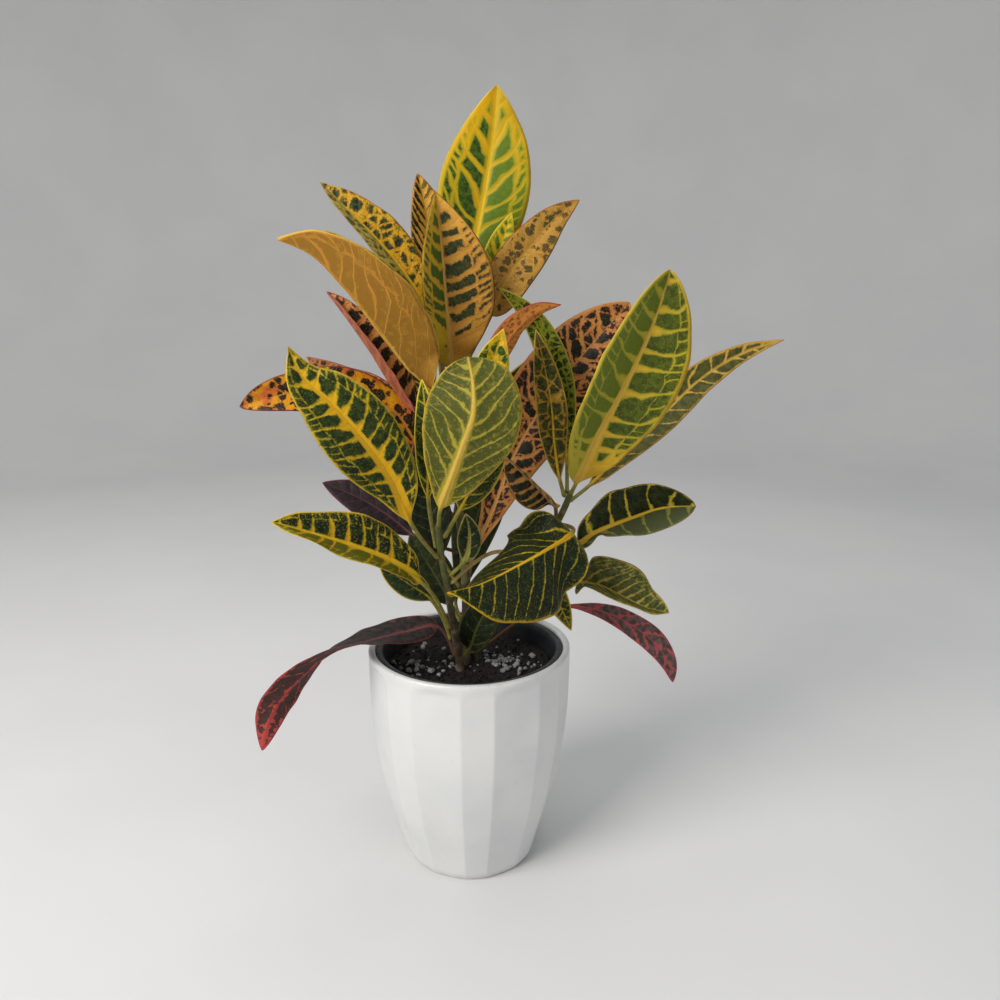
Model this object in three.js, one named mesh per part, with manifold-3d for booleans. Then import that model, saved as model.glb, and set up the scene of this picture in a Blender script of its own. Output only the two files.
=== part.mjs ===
// A croton in a white faceted pot: the pot, the nursery pot inside it, soil, three stems and their leaves.
// Millimetres, +Z up, the front towards -Y. The origin is the middle of the pot's base.
import * as THREE from "three";
import { mergeVertices } from "three/addons/utils/BufferGeometryUtils.js";
import Module from "manifold-3d";

// Driving dimensions.
const POT = { height: 145, wall: 4.4, floor: 4, facetPairs: 8, narrowFacet: 17.5, firstEdge: -92.6 };
const FACETS = { start: 141, full: 136, narrowSteps: 2, wideSteps: 3 }; // round above start
const RIM = { rounding: 1.7, bevel: 0.3 }; // bevel: where the edge is cut, as a share of its rounding
const INSIDE = { heights: [116, 84, 51, 24, 10], floorRounding: 3 };
const NURSERY_POT = {
  baseRadius: 37, topRadius: 57.5, lipRadius: 60.5, lipDepth: 4, wall: 1.2, top: 143.2,
};
const DRAIN_HOLE = { count: 6, radius: 4, ring: 24, sides: 10 };
const SOIL = { top: 130, unevenness: 0.8, rings: 7, sides: 36, clearance: 0.6 };
const HUMPS = { long: 9, short: 7, slanted: 5, slantedShare: 0.6 }; // lengths of the soil's waves over 2 pi
const GRAIN = {
  count: 48, size: 2.2, least: 0.6, most: 1.2, nearest: 9, farthest: 50, raised: 0.2, seed: 7,
};
const GAP = 0.3; // between pieces that touch
const BEYOND = 5; // how far a cutting tool stands out of what it cuts
const STEM = { sides: 8, steps: 14, rootDepth: 32, collar: 4, holeSides: 12 };
const LEAF = {
  thickness: 0.8,
  petioleRadius: 1.2,
  tipRadius: 0.4,
  petioleSteps: 3,
  bladeSteps: 10,
  columns: [-1, -0.55, 0, 0.55, 1],
  opening: 0.16, // share of the blade over which the fold opens
  upperRib: 0.5, // how far the midrib stands out of the upper side, as a share of the lower side's
  lag: 1.9, // by how much the left edge's waves trail the right edge's, in radians
};

// The pot's outline from base to rim, as radius and height.
const POT_OUTLINE = [
  [43, 0], [44.2, 3], [49.8, 24], [53.6, 36], [57.4, 51],
  [60.5, 68], [62.9, 84], [64.3, 98], [65.1, 116], [65.3, 136],
];

// Stems: foot on the soil, places on the way up, and radius at the foot and at the top.
const STEMS = {
  middle: {
    foot: [-3, 3], thick: 3.4, thin: 2.2,
    path: [[-2, 8, 171], [-7, 12, 238], [-12, 10, 289], [-13, 8, 311]],
  },
  front: {
    foot: [-6, -8], thick: 2.5, thin: 1.8,
    path: [[-9, -16, 160], [-12, -26, 190], [-15, -36, 218], [-16, -42, 238]],
  },
  right: {
    foot: [4, 8], thick: 2.8, thin: 2,
    path: [[11, 9, 159], [33, 4, 194], [56, 0, 226], [65, -2, 248]],
  },
};

const YOUNG = 0xb9b93a;
const GOLD = 0xc79a35;
const AMBER = 0xd08a2c;
const ORANGE = 0xb5622f;
const GREEN = 0x3f5a2a;
const MAROON = 0x3c2026;

// Leaves. on and at: the stem, and the height where the stalk leaves it. looks: where the upper side
// faces. through: where the blade starts, its middle and its tip. wide: half the blade's width.
// ends: how the outline closes at the base and at the tip, 1 straight and less rounder. fold: degrees
// that each half is lifted. arch: how far the edges sink back, as a share of the half's width.
// turn: degrees of twist from base to tip. wave and waves: height and number of the edges' waves.
const LEAVES = {
  crown_tall: {
    on: "middle", at: 306, looks: [0.06, -1.0, 0.07],
    through: [[-5, 25, 362], [4, 28, 398], [11, 31, 431], [16, 33, 462], [18, 35, 488]],
    wide: 28.5, ends: [1, 0.95], fold: 14, arch: 0.12, wave: 1.2, waves: 2, colour: YOUNG,
  },
  crown_narrow: {
    on: "middle", at: 303, looks: [0.41, -0.9, 0.17],
    through: [[-20, 34, 351], [-24, 41, 393], [-28, 44, 421], [-32, 46, 440]],
    wide: 16, ends: [0.9, 0.9], fold: 26, colour: ORANGE,
  },
  crown_folded: {
    on: "middle", at: 309, looks: [0.6, -0.8, 0.03],
    through: [[-10, -3, 322], [-12, -6, 359], [-14, -8, 390], [-17, -8, 422]],
    wide: 30, ends: [0.9, 1.1], fold: 33, colour: GOLD,
  },
  crown_gold: {
    on: "middle", at: 308, looks: [0.11, -0.99, 0.1],
    through: [[14, 10, 353], [26, 12, 377], [39, 15, 394], [52, 18, 409], [68, 22, 421]],
    wide: 14, ends: [0.5, 0.88], fold: 11, colour: GOLD,
  },
  crown_amber: {
    on: "middle", at: 308, looks: [0.55, 0, 0.8],
    through: [[-22, -10, 312], [-43, -26, 339], [-65, -37, 369], [-82, -41, 386], [-99, -42, 393]],
    wide: 30.5, ends: [0.8, 1], fold: 65, colour: AMBER,
  },
  crown_spotted: {
    on: "middle", at: 307, looks: [0.42, -0.79, 0.44],
    through: [[-23, 10, 352], [-37, 12, 376], [-54, 14, 397], [-70, 16, 413], [-88, 20, 431]],
    wide: 16.5, ends: [0.9, 0.95], fold: 34, colour: GOLD,
  },
  crown_inner: {
    on: "middle", at: 302, looks: [0.04, -1.0, 0.05],
    through: [[12, 20, 362], [17, 20, 383], [22, 21, 399], [27, 22, 414]],
    wide: 9, ends: [0.9, 1], fold: 12, colour: YOUNG,
  },
  crown_pink: {
    on: "middle", at: 304, looks: [-0.6, 0.7, 0.5],
    through: [[9, -14, 307], [20, -22, 331], [29, -25, 345], [41, -24, 355], [55, -20, 359]],
    wide: 11, ends: [0.8, 1.1], fold: 15, colour: AMBER,
  },
  crown_small: {
    on: "middle", at: 299, looks: [-0.03, -1.0, -0.06],
    through: [[6, -27, 303], [13, -32, 318], [18, -34, 334], [22, -34, 346]],
    wide: 10.5, ends: [0.9, 1.1], fold: 15, colour: YOUNG,
  },
  crown_red: {
    on: "middle", at: 293, looks: [0.5, -0.35, 0.75],
    through: [[-25, 0, 292], [-42, -2, 308], [-58, -2, 333], [-72, 2, 352], [-84, 6, 367]],
    wide: 17, ends: [0.9, 1], fold: 45, colour: ORANGE,
  },
  left_bold: {
    on: "front", at: 215, looks: [0.3, -0.95, 0.1],
    through: [
      [-30, -58, 241], [-38, -66, 266], [-53, -74, 291],
      [-68, -78, 310], [-80, -79, 322], [-87, -78, 338],
    ],
    wide: 21, ends: [1.1, 1.1], fold: 18, arch: 0.12, wave: 1.5, waves: 2, colour: GREEN,
  },
  left_orange: {
    on: "middle", at: 271, looks: [0.22, -0.89, 0.39],
    through: [[-29, 5, 274], [-45, 0, 296], [-72, -5, 307], [-102, -9, 308], [-135, -13, 300]],
    wide: 15, ends: [0.8, 0.75], fold: 14, wave: 1.5, waves: 2.5, colour: ORANGE,
  },
  left_tan: {
    on: "middle", at: 278, looks: [0.04, -0.88, 0.48],
    through: [[-31, 18, 283], [-44, 24, 295], [-62, 28, 306], [-81, 32, 313], [-105, 35, 327]],
    wide: 10, ends: [0.9, 0.9], fold: 12, colour: ORANGE,
  },
  left_purple: {
    on: "middle", at: 203, looks: [0.11, -0.88, 0.47],
    through: [[-38, 22, 212], [-54, 25, 224], [-73, 28, 235], [-98, 31, 245]],
    wide: 12, ends: [0.8, 0.9], fold: 12, colour: MAROON,
  },
  left_long: {
    on: "front", at: 164, looks: [0.51, -0.58, 0.63],
    through: [[-26, -44, 201], [-45, -54, 218], [-63, -61, 228], [-84, -67, 237], [-104, -70, 244]],
    wide: 18.5, ends: [0.85, 0.95], fold: 36, wave: 1, waves: 2.5, colour: GREEN,
  },
  left_low: {
    on: "front", at: 152, looks: [0.59, -0.8, 0.11],
    through: [[-23, -16, 180], [-37, -24, 194], [-52, -30, 207]],
    wide: 9, ends: [0.8, 0.7], fold: 12, colour: GREEN,
  },
  left_drooping: {
    on: "front", at: 138, looks: [-0.5, 0.3, 0.8],
    through: [
      [-20, -4, 157], [-40, -12, 157], [-61, -24, 156], [-80, -34, 154],
      [-99, -41, 141], [-117, -45, 120], [-126, -45, 93],
    ],
    wide: 16, ends: [0.5, 0.7], fold: 8, turn: 150, colour: MAROON,
  },
  left_inner: {
    on: "middle", at: 180, looks: [-0.04, -0.99, -0.12],
    through: [[-18, 6, 202], [-25, 2, 237], [-33, -4, 268]],
    wide: 14, ends: [0.8, 1], fold: 12, colour: GREEN,
  },
  front_round: {
    on: "front", at: 236, looks: [-0.04, 0.99, -0.16],
    through: [
      [-13, -60, 249], [-5, -74, 271], [1, -81, 288],
      [6, -82, 303], [6, -76, 318], [3, -66, 332],
    ],
    wide: 26, ends: [0.95, 0.5], fold: 14, arch: 0.1, wave: 1, waves: 3, colour: YOUNG,
  },
  front_under: {
    on: "front", at: 227, looks: [-0.14, -0.98, -0.13],
    through: [[-3, -46, 245], [11, -52, 274], [23, -50, 298]],
    wide: 12, ends: [0.8, 0.9], fold: 12, colour: GREEN,
  },
  front_small: {
    on: "front", at: 200, looks: [-0.07, -0.98, -0.2],
    through: [[-2, -30, 209], [2, -34, 227], [0, -38, 241]],
    wide: 7.5, ends: [0.8, 0.9], fold: 12, colour: GREEN,
  },
  front_narrow: {
    on: "front", at: 219, looks: [-0.25, -0.97, 0.06],
    through: [[-21, -44, 252], [-20, -49, 280], [-21, -49, 301], [-23, -46, 319]],
    wide: 7.5, ends: [0.8, 0.9], fold: 12, colour: YOUNG,
  },
  front_curled: {
    on: "front", at: 194, looks: [-0.3, -0.6, 0.8],
    through: [[22, -22, 213], [40, -18, 199], [55, -16, 180], [65, -15, 159]],
    wide: 9, ends: [0.8, 0.9], fold: 15, colour: GREEN,
  },
  right_orange: {
    on: "middle", at: 162, looks: [-0.09, -0.98, 0.17],
    through: [
      [0, 20, 189], [15, 23, 228], [31, 27, 268], [47, 30, 295],
      [66, 33, 320], [87, 35, 344], [103, 37, 361],
    ],
    wide: 27, ends: [1.6, 0.8], fold: 12, arch: 0.1, wave: 1.2, waves: 2, colour: ORANGE,
  },
  right_olive: {
    on: "right", at: 242, looks: [-0.04, -1.0, -0.05],
    through: [[57, 0, 254], [53, -3, 279], [51, -5, 300], [47, -5, 321], [41, -4, 345]],
    wide: 9.5, ends: [0.8, 0.9], fold: 10, wave: 1.5, waves: 2.5, colour: GREEN,
  },
  right_green: {
    on: "right", at: 244, looks: [0.01, -0.99, -0.1],
    through: [[62, 8, 263], [60, 11, 289], [56, 10, 315], [48, 8, 337], [38, 6, 353], [19, 2, 369]],
    wide: 9.5, ends: [0.8, 0.9], fold: 10, colour: GREEN,
  },
  right_tall: {
    on: "right", at: 246, looks: [0.2, -0.94, -0.28],
    through: [[66, -12, 253], [76, -30, 285], [91, -40, 319], [104, -44, 352], [111, -44, 377]],
    wide: 29.5, ends: [0.9, 0.72], fold: 30, arch: 0.08, wave: 1, waves: 2, colour: YOUNG,
  },
  right_long: {
    on: "right", at: 240, looks: [-0.18, -0.91, 0.37],
    through: [
      [77, 12, 247], [97, 18, 266], [123, 24, 289],
      [148, 28, 313], [174, 30, 329], [201, 30, 338],
    ],
    wide: 11.5, ends: [0.8, 1], fold: 12, colour: GREEN,
  },
  right_tan: {
    on: "right", at: 228, looks: [-0.33, -0.74, -0.59],
    through: [[54, -8, 238], [43, -18, 252], [32, -23, 264], [22, -25, 273]],
    wide: 15, ends: [0.8, 0.9], fold: 48, colour: ORANGE,
  },
  right_big: {
    on: "right", at: 226, looks: [0.07, -0.59, 0.8],
    through: [[62, -38, 229], [46, -55, 224], [27, -64, 216], [10, -76, 211], [-8, -91, 211]],
    wide: 38.5, ends: [0.5, 1.07], fold: -45, turn: 54, wave: 1, waves: 2, colour: GREEN,
  },
  right_lance: {
    on: "right", at: 219, looks: [-0.35, -0.8, 0.48],
    through: [[67, -10, 214], [82, -6, 221], [101, -5, 229], [120, -12, 238], [138, -20, 241]],
    wide: 21.5, ends: [0.73, 0.62], fold: 41, turn: 49, wave: 1.2, waves: 2.5, colour: GREEN,
  },
  right_low: {
    on: "right", at: 206, looks: [0.16, -0.56, 0.82],
    through: [[69, -4, 188], [82, -9, 187], [97, -14, 181], [112, -18, 175], [125, -20, 173]],
    wide: 21, ends: [0.42, 0.75], fold: 40, wave: 1, waves: 2, colour: GREEN,
  },
  right_drooping: {
    on: "right", at: 138, looks: [0.35, -0.7, 0.62],
    through: [
      [59, 10, 166], [82, 7, 165], [106, 4, 155],
      [122, -1, 143], [129, -4, 133], [133, -5, 119],
    ],
    wide: 9.6, ends: [1.38, 0.85], fold: 9, turn: 12, colour: MAROON,
  },
  inner_tall: {
    on: "middle", at: 155, looks: [-0.0, -0.99, 0.13],
    through: [[-10, 22, 164], [-5, 27, 184], [2, 31, 213], [9, 34, 239], [12, 35, 265]],
    wide: 17, ends: [1.2, 0.6], fold: 12, colour: GREEN,
  },
  inner_low: {
    on: "front", at: 139, looks: [-0.17, -0.98, -0.05],
    through: [[-2, -6, 141], [5, -8, 158], [12, -10, 174], [18, -12, 189]],
    wide: 12, ends: [0.7, 0.9], fold: 16, colour: GREEN,
  },
  inner_left: {
    on: "middle", at: 157, looks: [0.25, -0.97, 0.01],
    through: [[-12, 10, 167], [-21, 9, 185], [-30, 7, 202], [-38, 5, 217]],
    wide: 13, ends: [0.8, 0.9], fold: 12, colour: GREEN,
  },
  back_left: {
    on: "middle", at: 281, looks: [0.01, -0.95, 0.3],
    through: [[-24, 30, 300], [-36, 42, 330], [-48, 52, 359], [-56, 58, 381]],
    wide: 15, ends: [0.9, 0.9], fold: 12, colour: GREEN,
  },
  back_high: {
    on: "middle", at: 287, looks: [0.05, -0.98, 0.17],
    through: [[-1, 36, 330], [4, 50, 363], [9, 58, 395], [12, 61, 426]],
    wide: 16, ends: [0.9, 0.9], fold: 10, colour: GOLD,
  },
  back_right: {
    on: "middle", at: 247, looks: [0.15, -0.97, 0.21],
    through: [[6, 28, 277], [30, 44, 298], [55, 54, 316], [83, 60, 334]],
    wide: 17, ends: [0.9, 0.9], fold: 12, colour: GREEN,
  },
  back_low: {
    on: "middle", at: 225, looks: [-0.15, -0.92, 0.37],
    through: [[-30, 28, 249], [-44, 42, 268], [-61, 52, 284], [-83, 60, 297]],
    wide: 15, ends: [0.9, 0.9], fold: 12, colour: ORANGE,
  },
};

// A curve through its points, each knot at its share of the chords' length.
class SmoothPath extends THREE.Curve {
  constructor(points) {
    super();
    this.points = points;
    this.knots = [0];
    for (let i = 1; i < points.length; i++)
      this.knots.push(this.knots[i - 1] + points[i].distanceTo(points[i - 1]));
    const slopes = points.slice(1).map((p, i) =>
      p.clone().sub(points[i]).divideScalar(this.knots[i + 1] - this.knots[i]),
    );
    this.tangents = points.map((_, i) => {
      if (i === 0) return slopes[0].clone();
      if (i === points.length - 1) return slopes[i - 1].clone();
      const [before, after] = [this.knots[i] - this.knots[i - 1], this.knots[i + 1] - this.knots[i]];
      const mixed = slopes[i].clone().multiplyScalar(before).addScaledVector(slopes[i - 1], after);
      return mixed.divideScalar(before + after);
    });
    // The free ends bend on as the curve does next to them.
    const n = points.length - 1;
    this.tangents[0].multiplyScalar(1.5).addScaledVector(this.tangents[1], -0.5);
    this.tangents[n].multiplyScalar(1.5).addScaledVector(this.tangents[n - 1], -0.5);
  }

  get length() {
    return this.knots.at(-1);
  }

  // Weights of the two points and two tangents round the place s, in millimetres along the chords.
  at(s, weights) {
    let i = 0;
    while (i < this.knots.length - 2 && s > this.knots[i + 1]) i++;
    const span = this.knots[i + 1] - this.knots[i];
    const [a, b, c, d] = weights((s - this.knots[i]) / span, span);
    return this.points[i].clone().multiplyScalar(a).addScaledVector(this.points[i + 1], b)
      .addScaledVector(this.tangents[i], c).addScaledVector(this.tangents[i + 1], d);
  }

  place(s) {
    return this.at(s, (t, span) => [
      2 * t ** 3 - 3 * t ** 2 + 1,
      -2 * t ** 3 + 3 * t ** 2,
      (t ** 3 - 2 * t ** 2 + t) * span,
      (t ** 3 - t ** 2) * span,
    ]);
  }

  direction(s) {
    return this.at(s, (t, span) => [
      (6 * t ** 2 - 6 * t) / span,
      (-6 * t ** 2 + 6 * t) / span,
      3 * t ** 2 - 4 * t + 1,
      3 * t ** 2 - 2 * t,
    ]).normalize();
  }

  getPoint(t) {
    return this.place(t * this.length);
  }
}

const vector = (p) => new THREE.Vector3(...p);
const smooth = (t) => THREE.MathUtils.smoothstep(t, 0, 1);
const { lerp, degToRad, seededRandom } = THREE.MathUtils;

// A closed geometry from rings of as many points each. From the ring's point number `under` on, the
// diagonals lean the other way, so that both faces of a blade are split alike.
function sweep(rings, under = Infinity) {
  const sides = rings[0].length;
  const faces = [];
  for (let i = 0; i + 1 < rings.length; i++)
    for (let j = 0; j < sides; j++) {
      const a = i * sides + j;
      const b = i * sides + ((j + 1) % sides);
      if (j < under) faces.push(a, b, b + sides, a, b + sides, a + sides);
      else faces.push(a, b, a + sides, b, b + sides, a + sides);
    }
  const last = (rings.length - 1) * sides;
  for (let j = 1; j + 1 < sides; j++) faces.push(0, j + 1, j, last, last + j, last + j + 1);
  const geometry = new THREE.BufferGeometry();
  const places = rings.flat().flatMap((p) => p.toArray());
  geometry.setAttribute("position", new THREE.Float32BufferAttribute(places, 3));
  geometry.setIndex(faces);
  return geometry;
}

const wasm = await Module();
wasm.setup();

function solidOf(geometry) {
  const bare = geometry.clone().deleteAttribute("normal").deleteAttribute("uv");
  const merged = mergeVertices(bare, 1e-3);
  return new wasm.Manifold(
    new wasm.Mesh({
      numProp: 3,
      vertProperties: merged.attributes.position.array,
      triVerts: new Uint32Array(merged.index.array),
    }),
  );
}

function geometryOf(solid) {
  const mesh = solid.getMesh();
  const geometry = new THREE.BufferGeometry();
  geometry.setAttribute("position", new THREE.BufferAttribute(mesh.vertProperties, 3));
  geometry.setIndex(new THREE.BufferAttribute(mesh.triVerts, 1));
  return geometry;
}

// A lathe turned to stand on Z, from its outline of radius and height.
function turned(outline, sides) {
  const points = outline.map(([radius, height]) => new THREE.Vector2(radius, height));
  return new THREE.LatheGeometry(points, sides).rotateX(Math.PI / 2);
}

function upright(radius, low, high, sides) {
  return turned([[0, low], [radius, low], [radius, high], [0, high]], sides);
}

// The pot's outer radius at a height, along straight lines between the points of its outline.
function potRadius(height) {
  const i = Math.max(1, POT_OUTLINE.findIndex(([, z]) => z >= height));
  const [[r0, z0], [r1, z1]] = [POT_OUTLINE[i - 1], POT_OUTLINE[i]];
  return height > z1 ? r1 : lerp(r0, r1, (height - z0) / (z1 - z0));
}

// The rays along which the pot's section is drawn: their angle, and their place on their facet.
function facetRays() {
  const facets = [
    { start: 0, width: POT.narrowFacet, steps: FACETS.narrowSteps },
    { start: POT.narrowFacet, width: 360 / POT.facetPairs - POT.narrowFacet, steps: FACETS.wideSteps },
  ];
  const rays = [];
  for (let pair = 0; pair < POT.facetPairs; pair++)
    for (const { start, width, steps } of facets)
      for (let k = 0; k < steps; k++) {
        const along = (width * k) / steps;
        const angle = POT.firstEdge + (360 * pair) / POT.facetPairs + start + along;
        const offset = degToRad(along - width / 2);
        rays.push({ angle: degToRad(angle), offset, half: degToRad(width / 2) });
      }
  return rays;
}

// The white pot: round at the rim and inside, with narrow and wide flat facets in turn outside.
function potGeometry() {
  const rays = facetRays();
  const [r, cut] = [RIM.rounding, RIM.rounding * RIM.bevel];
  const outer = POT_OUTLINE.at(-1)[0];
  const inner = outer - POT.wall;
  const outside = [
    [0, 0], ...POT_OUTLINE,
    [outer, FACETS.start], [outer, POT.height - r],
    [outer - cut, POT.height - cut], [outer - r, POT.height],
  ];
  const inside = [
    [inner + r, POT.height], [inner, POT.height - r],
    ...INSIDE.heights.map((height) => [potRadius(height) - POT.wall, height]),
    [potRadius(POT.floor) - POT.wall - INSIDE.floorRounding, POT.floor], [0, POT.floor],
  ];
  const outline = [...outside, ...inside];
  const geometry = turned(outline, rays.length);
  const place = geometry.attributes.position;
  for (let i = 0; i < place.count; i++) {
    const { angle, offset, half } = rays[Math.floor(i / outline.length) % rays.length];
    const [radius, height] = outline[i % outline.length];
    const rounded = THREE.MathUtils.smoothstep(height, FACETS.full, FACETS.start);
    const flatness = i % outline.length < outside.length ? 1 - rounded : 0;
    const shown = radius * lerp(1, Math.cos(half) / Math.cos(offset), flatness);
    place.setXYZ(i, shown * Math.cos(angle), shown * Math.sin(angle), height);
  }
  return geometry;
}

// The black nursery pot that stands in the white one, with drain holes in its floor.
function nurseryPotGeometry() {
  const { baseRadius, topRadius, lipRadius, lipDepth, wall, top } = NURSERY_POT;
  const floor = POT.floor + GAP;
  const shell = turned([
    [0, floor], [baseRadius, floor], [topRadius, top - lipDepth], [lipRadius, top - lipDepth],
    [lipRadius, top], [topRadius - wall, top], [baseRadius - wall, floor + wall], [0, floor + wall],
  ], SOIL.sides);
  let solid = solidOf(shell);
  for (let k = 0; k < DRAIN_HOLE.count; k++) {
    const angle = (2 * Math.PI * k) / DRAIN_HOLE.count;
    const hole = upright(DRAIN_HOLE.radius, floor - BEYOND, floor + wall + BEYOND, DRAIN_HOLE.sides);
    hole.translate(DRAIN_HOLE.ring * Math.cos(angle), DRAIN_HOLE.ring * Math.sin(angle), 0);
    solid = solid.subtract(solidOf(hole));
  }
  return geometryOf(solid);
}

function soilHeight(x, y) {
  const humps = Math.sin(x / HUMPS.long) * Math.cos(y / HUMPS.short);
  return SOIL.top + SOIL.unevenness * (humps + HUMPS.slantedShare * Math.sin((x + y) / HUMPS.slanted));
}

// The soil with grains of perlite on it, and a plain hole for each stem.
function soilGeometry() {
  const { baseRadius, topRadius, wall, top, lipDepth } = NURSERY_POT;
  const floor = POT.floor + GAP;
  const low = floor + wall + GAP;
  const slope = (topRadius - baseRadius) / (top - lipDepth - floor);
  const radiusAt = (height) => baseRadius - wall - SOIL.clearance + slope * (height - floor - wall);
  const outline = [[0, low], [radiusAt(low), low], [radiusAt(SOIL.top), SOIL.top]];
  for (let k = SOIL.rings - 1; k > 0; k--) outline.push([(radiusAt(SOIL.top) * k) / SOIL.rings, SOIL.top]);
  outline.push([0, SOIL.top]);
  const geometry = turned(outline, SOIL.sides);
  const place = geometry.attributes.position;
  for (let i = 0; i < place.count; i++)
    if (place.getZ(i) > low + GAP) place.setZ(i, soilHeight(place.getX(i), place.getY(i)));
  let solid = solidOf(geometry);
  seededRandom(GRAIN.seed);
  for (let k = 0; k < GRAIN.count; k++) {
    const reach = Math.sqrt(lerp(GRAIN.nearest ** 2, GRAIN.farthest ** 2, seededRandom()));
    const angle = 2 * Math.PI * seededRandom();
    const size = GRAIN.size * lerp(GRAIN.least, GRAIN.most, seededRandom());
    const [x, y] = [reach * Math.cos(angle), reach * Math.sin(angle)];
    const grain = new THREE.IcosahedronGeometry(size, 0);
    grain.rotateX(Math.PI * seededRandom()).rotateY(Math.PI * seededRandom());
    grain.translate(x, y, soilHeight(x, y) + GRAIN.raised);
    solid = solid.add(solidOf(grain));
  }
  for (const { foot, thick } of Object.values(STEMS)) {
    const hole = upright(thick + GAP, SOIL.top - STEM.rootDepth - GAP, SOIL.top + BEYOND, STEM.holeSides);
    hole.translate(foot[0], foot[1], 0);
    solid = solid.subtract(solidOf(hole));
  }
  return geometryOf(solid);
}

const stemPaths = Object.fromEntries(
  Object.entries(STEMS).map(([name, { foot, path }]) => [
    name,
    new SmoothPath([[...foot, SOIL.top + STEM.collar], ...path].map(vector)),
  ]),
);

function stemRadius(name, s) {
  const { thick, thin } = STEMS[name];
  return lerp(thick, thin, s / stemPaths[name].length);
}

function stemGeometry(name) {
  const path = stemPaths[name];
  const ring = (centre, along, radius) => {
    const right = new THREE.Vector3(0, 1, 0).cross(along).normalize();
    const back = along.clone().cross(right);
    return Array.from({ length: STEM.sides }, (_, k) => {
      const angle = (2 * Math.PI * k) / STEM.sides;
      const across = centre.clone().addScaledVector(right, radius * Math.cos(angle));
      return across.addScaledVector(back, radius * Math.sin(angle));
    });
  };
  const up = new THREE.Vector3(0, 0, 1);
  const root = vector([...STEMS[name].foot, SOIL.top - STEM.rootDepth]);
  const rings = [ring(root, up, STEMS[name].thick), ring(path.place(0), up, STEMS[name].thick)];
  for (let k = 1; k <= STEM.steps; k++) {
    const s = (path.length * k) / STEM.steps;
    rings.push(ring(path.place(s), path.direction(s), stemRadius(name, s)));
  }
  return sweep(rings);
}

// Where a stalk starts: beside its stem, on the side of its blade.
function stalkStart({ on, at, through }) {
  const path = stemPaths[on];
  let [low, high] = [0, path.length];
  while (high - low > 0.01) {
    const middle = (low + high) / 2;
    if (path.place(middle).z < at) low = middle;
    else high = middle;
  }
  const centre = path.place(low);
  const along = path.direction(low);
  const toBlade = vector(through[0]).sub(centre).normalize();
  const lean = toBlade.dot(along);
  const out = toBlade.clone().addScaledVector(along, -lean).normalize();
  return centre.addScaledVector(out, stemRadius(on, low) + LEAF.petioleRadius * Math.abs(lean) + GAP);
}

// A leaf: a round stalk that opens into a thin blade with a thicker midrib.
function leafGeometry(leaf) {
  const { through, looks, wide, ends, fold = 0, arch = 0, turn = 0, wave = 0, waves = 2 } = leaf;
  const path = new SmoothPath([stalkStart(leaf), ...through.map(vector)]);
  const [stalk, total] = [path.knots[1], path.length];
  const widest = ends[0] / (ends[0] + ends[1]);
  const stops = [];
  for (let k = 0; k < LEAF.petioleSteps; k++) stops.push((stalk * k) / LEAF.petioleSteps);
  for (let k = 0; k <= LEAF.bladeSteps; k++) stops.push(lerp(stalk, total, k / LEAF.bladeSteps));
  const rings = stops.map((s) => {
    const along = path.direction(s);
    const b = THREE.MathUtils.clamp((s - stalk) / (total - stalk), 0, 1);
    const up = vector(looks).addScaledVector(along, -vector(looks).dot(along)).normalize();
    up.applyAxisAngle(along, degToRad(turn) * (b - 0.5));
    const side = along.clone().cross(up);
    const outline = (b / widest) ** ends[0] * ((1 - b) / (1 - widest)) ** ends[1];
    const rod = lerp(LEAF.petioleRadius, LEAF.tipRadius, b);
    const half = Math.hypot(wide * outline, rod);
    const open = smooth(b / LEAF.opening);
    const lift = degToRad(fold) * open;
    const point = (v, face) => {
      const ripple = wave * Math.sin(2 * Math.PI * waves * b + (v < 0 ? LEAF.lag : 0)) * open;
      const rise = Math.abs(v) * half * Math.sin(lift) + v * v * (ripple - arch * half * open);
      const round = Math.sqrt(Math.max(0, rod ** 2 - (v * half) ** 2));
      const rib = face > 0 ? round * lerp(1, LEAF.upperRib, open) : round;
      const thick = Math.max(LEAF.thickness / 2, rib) / Math.cos(lift);
      const across = path.place(s).addScaledVector(side, v * half * Math.cos(lift));
      return across.addScaledVector(up, rise + face * thick);
    };
    const upper = LEAF.columns.map((v) => point(v, 1));
    const lower = LEAF.columns.map((v) => point(v, -1)).reverse();
    return [...upper, ...lower];
  });
  return sweep(rings, LEAF.columns.length);
}

const part = new THREE.Group();

function add(name, geometry, colour, roughness) {
  const material = new THREE.MeshStandardMaterial({ color: colour, roughness });
  const mesh = new THREE.Mesh(geometry, material);
  mesh.name = name;
  part.add(mesh);
}

add("pot", potGeometry(), 0xf2f2f0, 0.35);
add("nursery_pot", nurseryPotGeometry(), 0x24282c, 0.5);
add("soil", soilGeometry(), 0x3a2f27, 0.95);
for (const name of Object.keys(STEMS)) add("stem_" + name, stemGeometry(name), 0x6d6a35, 0.7);
for (const [name, leaf] of Object.entries(LEAVES))
  add("leaf_" + name, leafGeometry(leaf), leaf.colour, 0.4);

export default part;
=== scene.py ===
"""A potted croton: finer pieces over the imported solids, their finishes, the light and the camera.

Sizes are in millimetres and angles in degrees. A piece is scaled to metres when it is finished.
"""

from __future__ import annotations

import logging
import math
import random
from dataclasses import dataclass, replace
from enum import Enum
from typing import Callable, Sequence

import bmesh
import bpy
from mathutils import Matrix, Quaternion, Vector, noise

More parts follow.
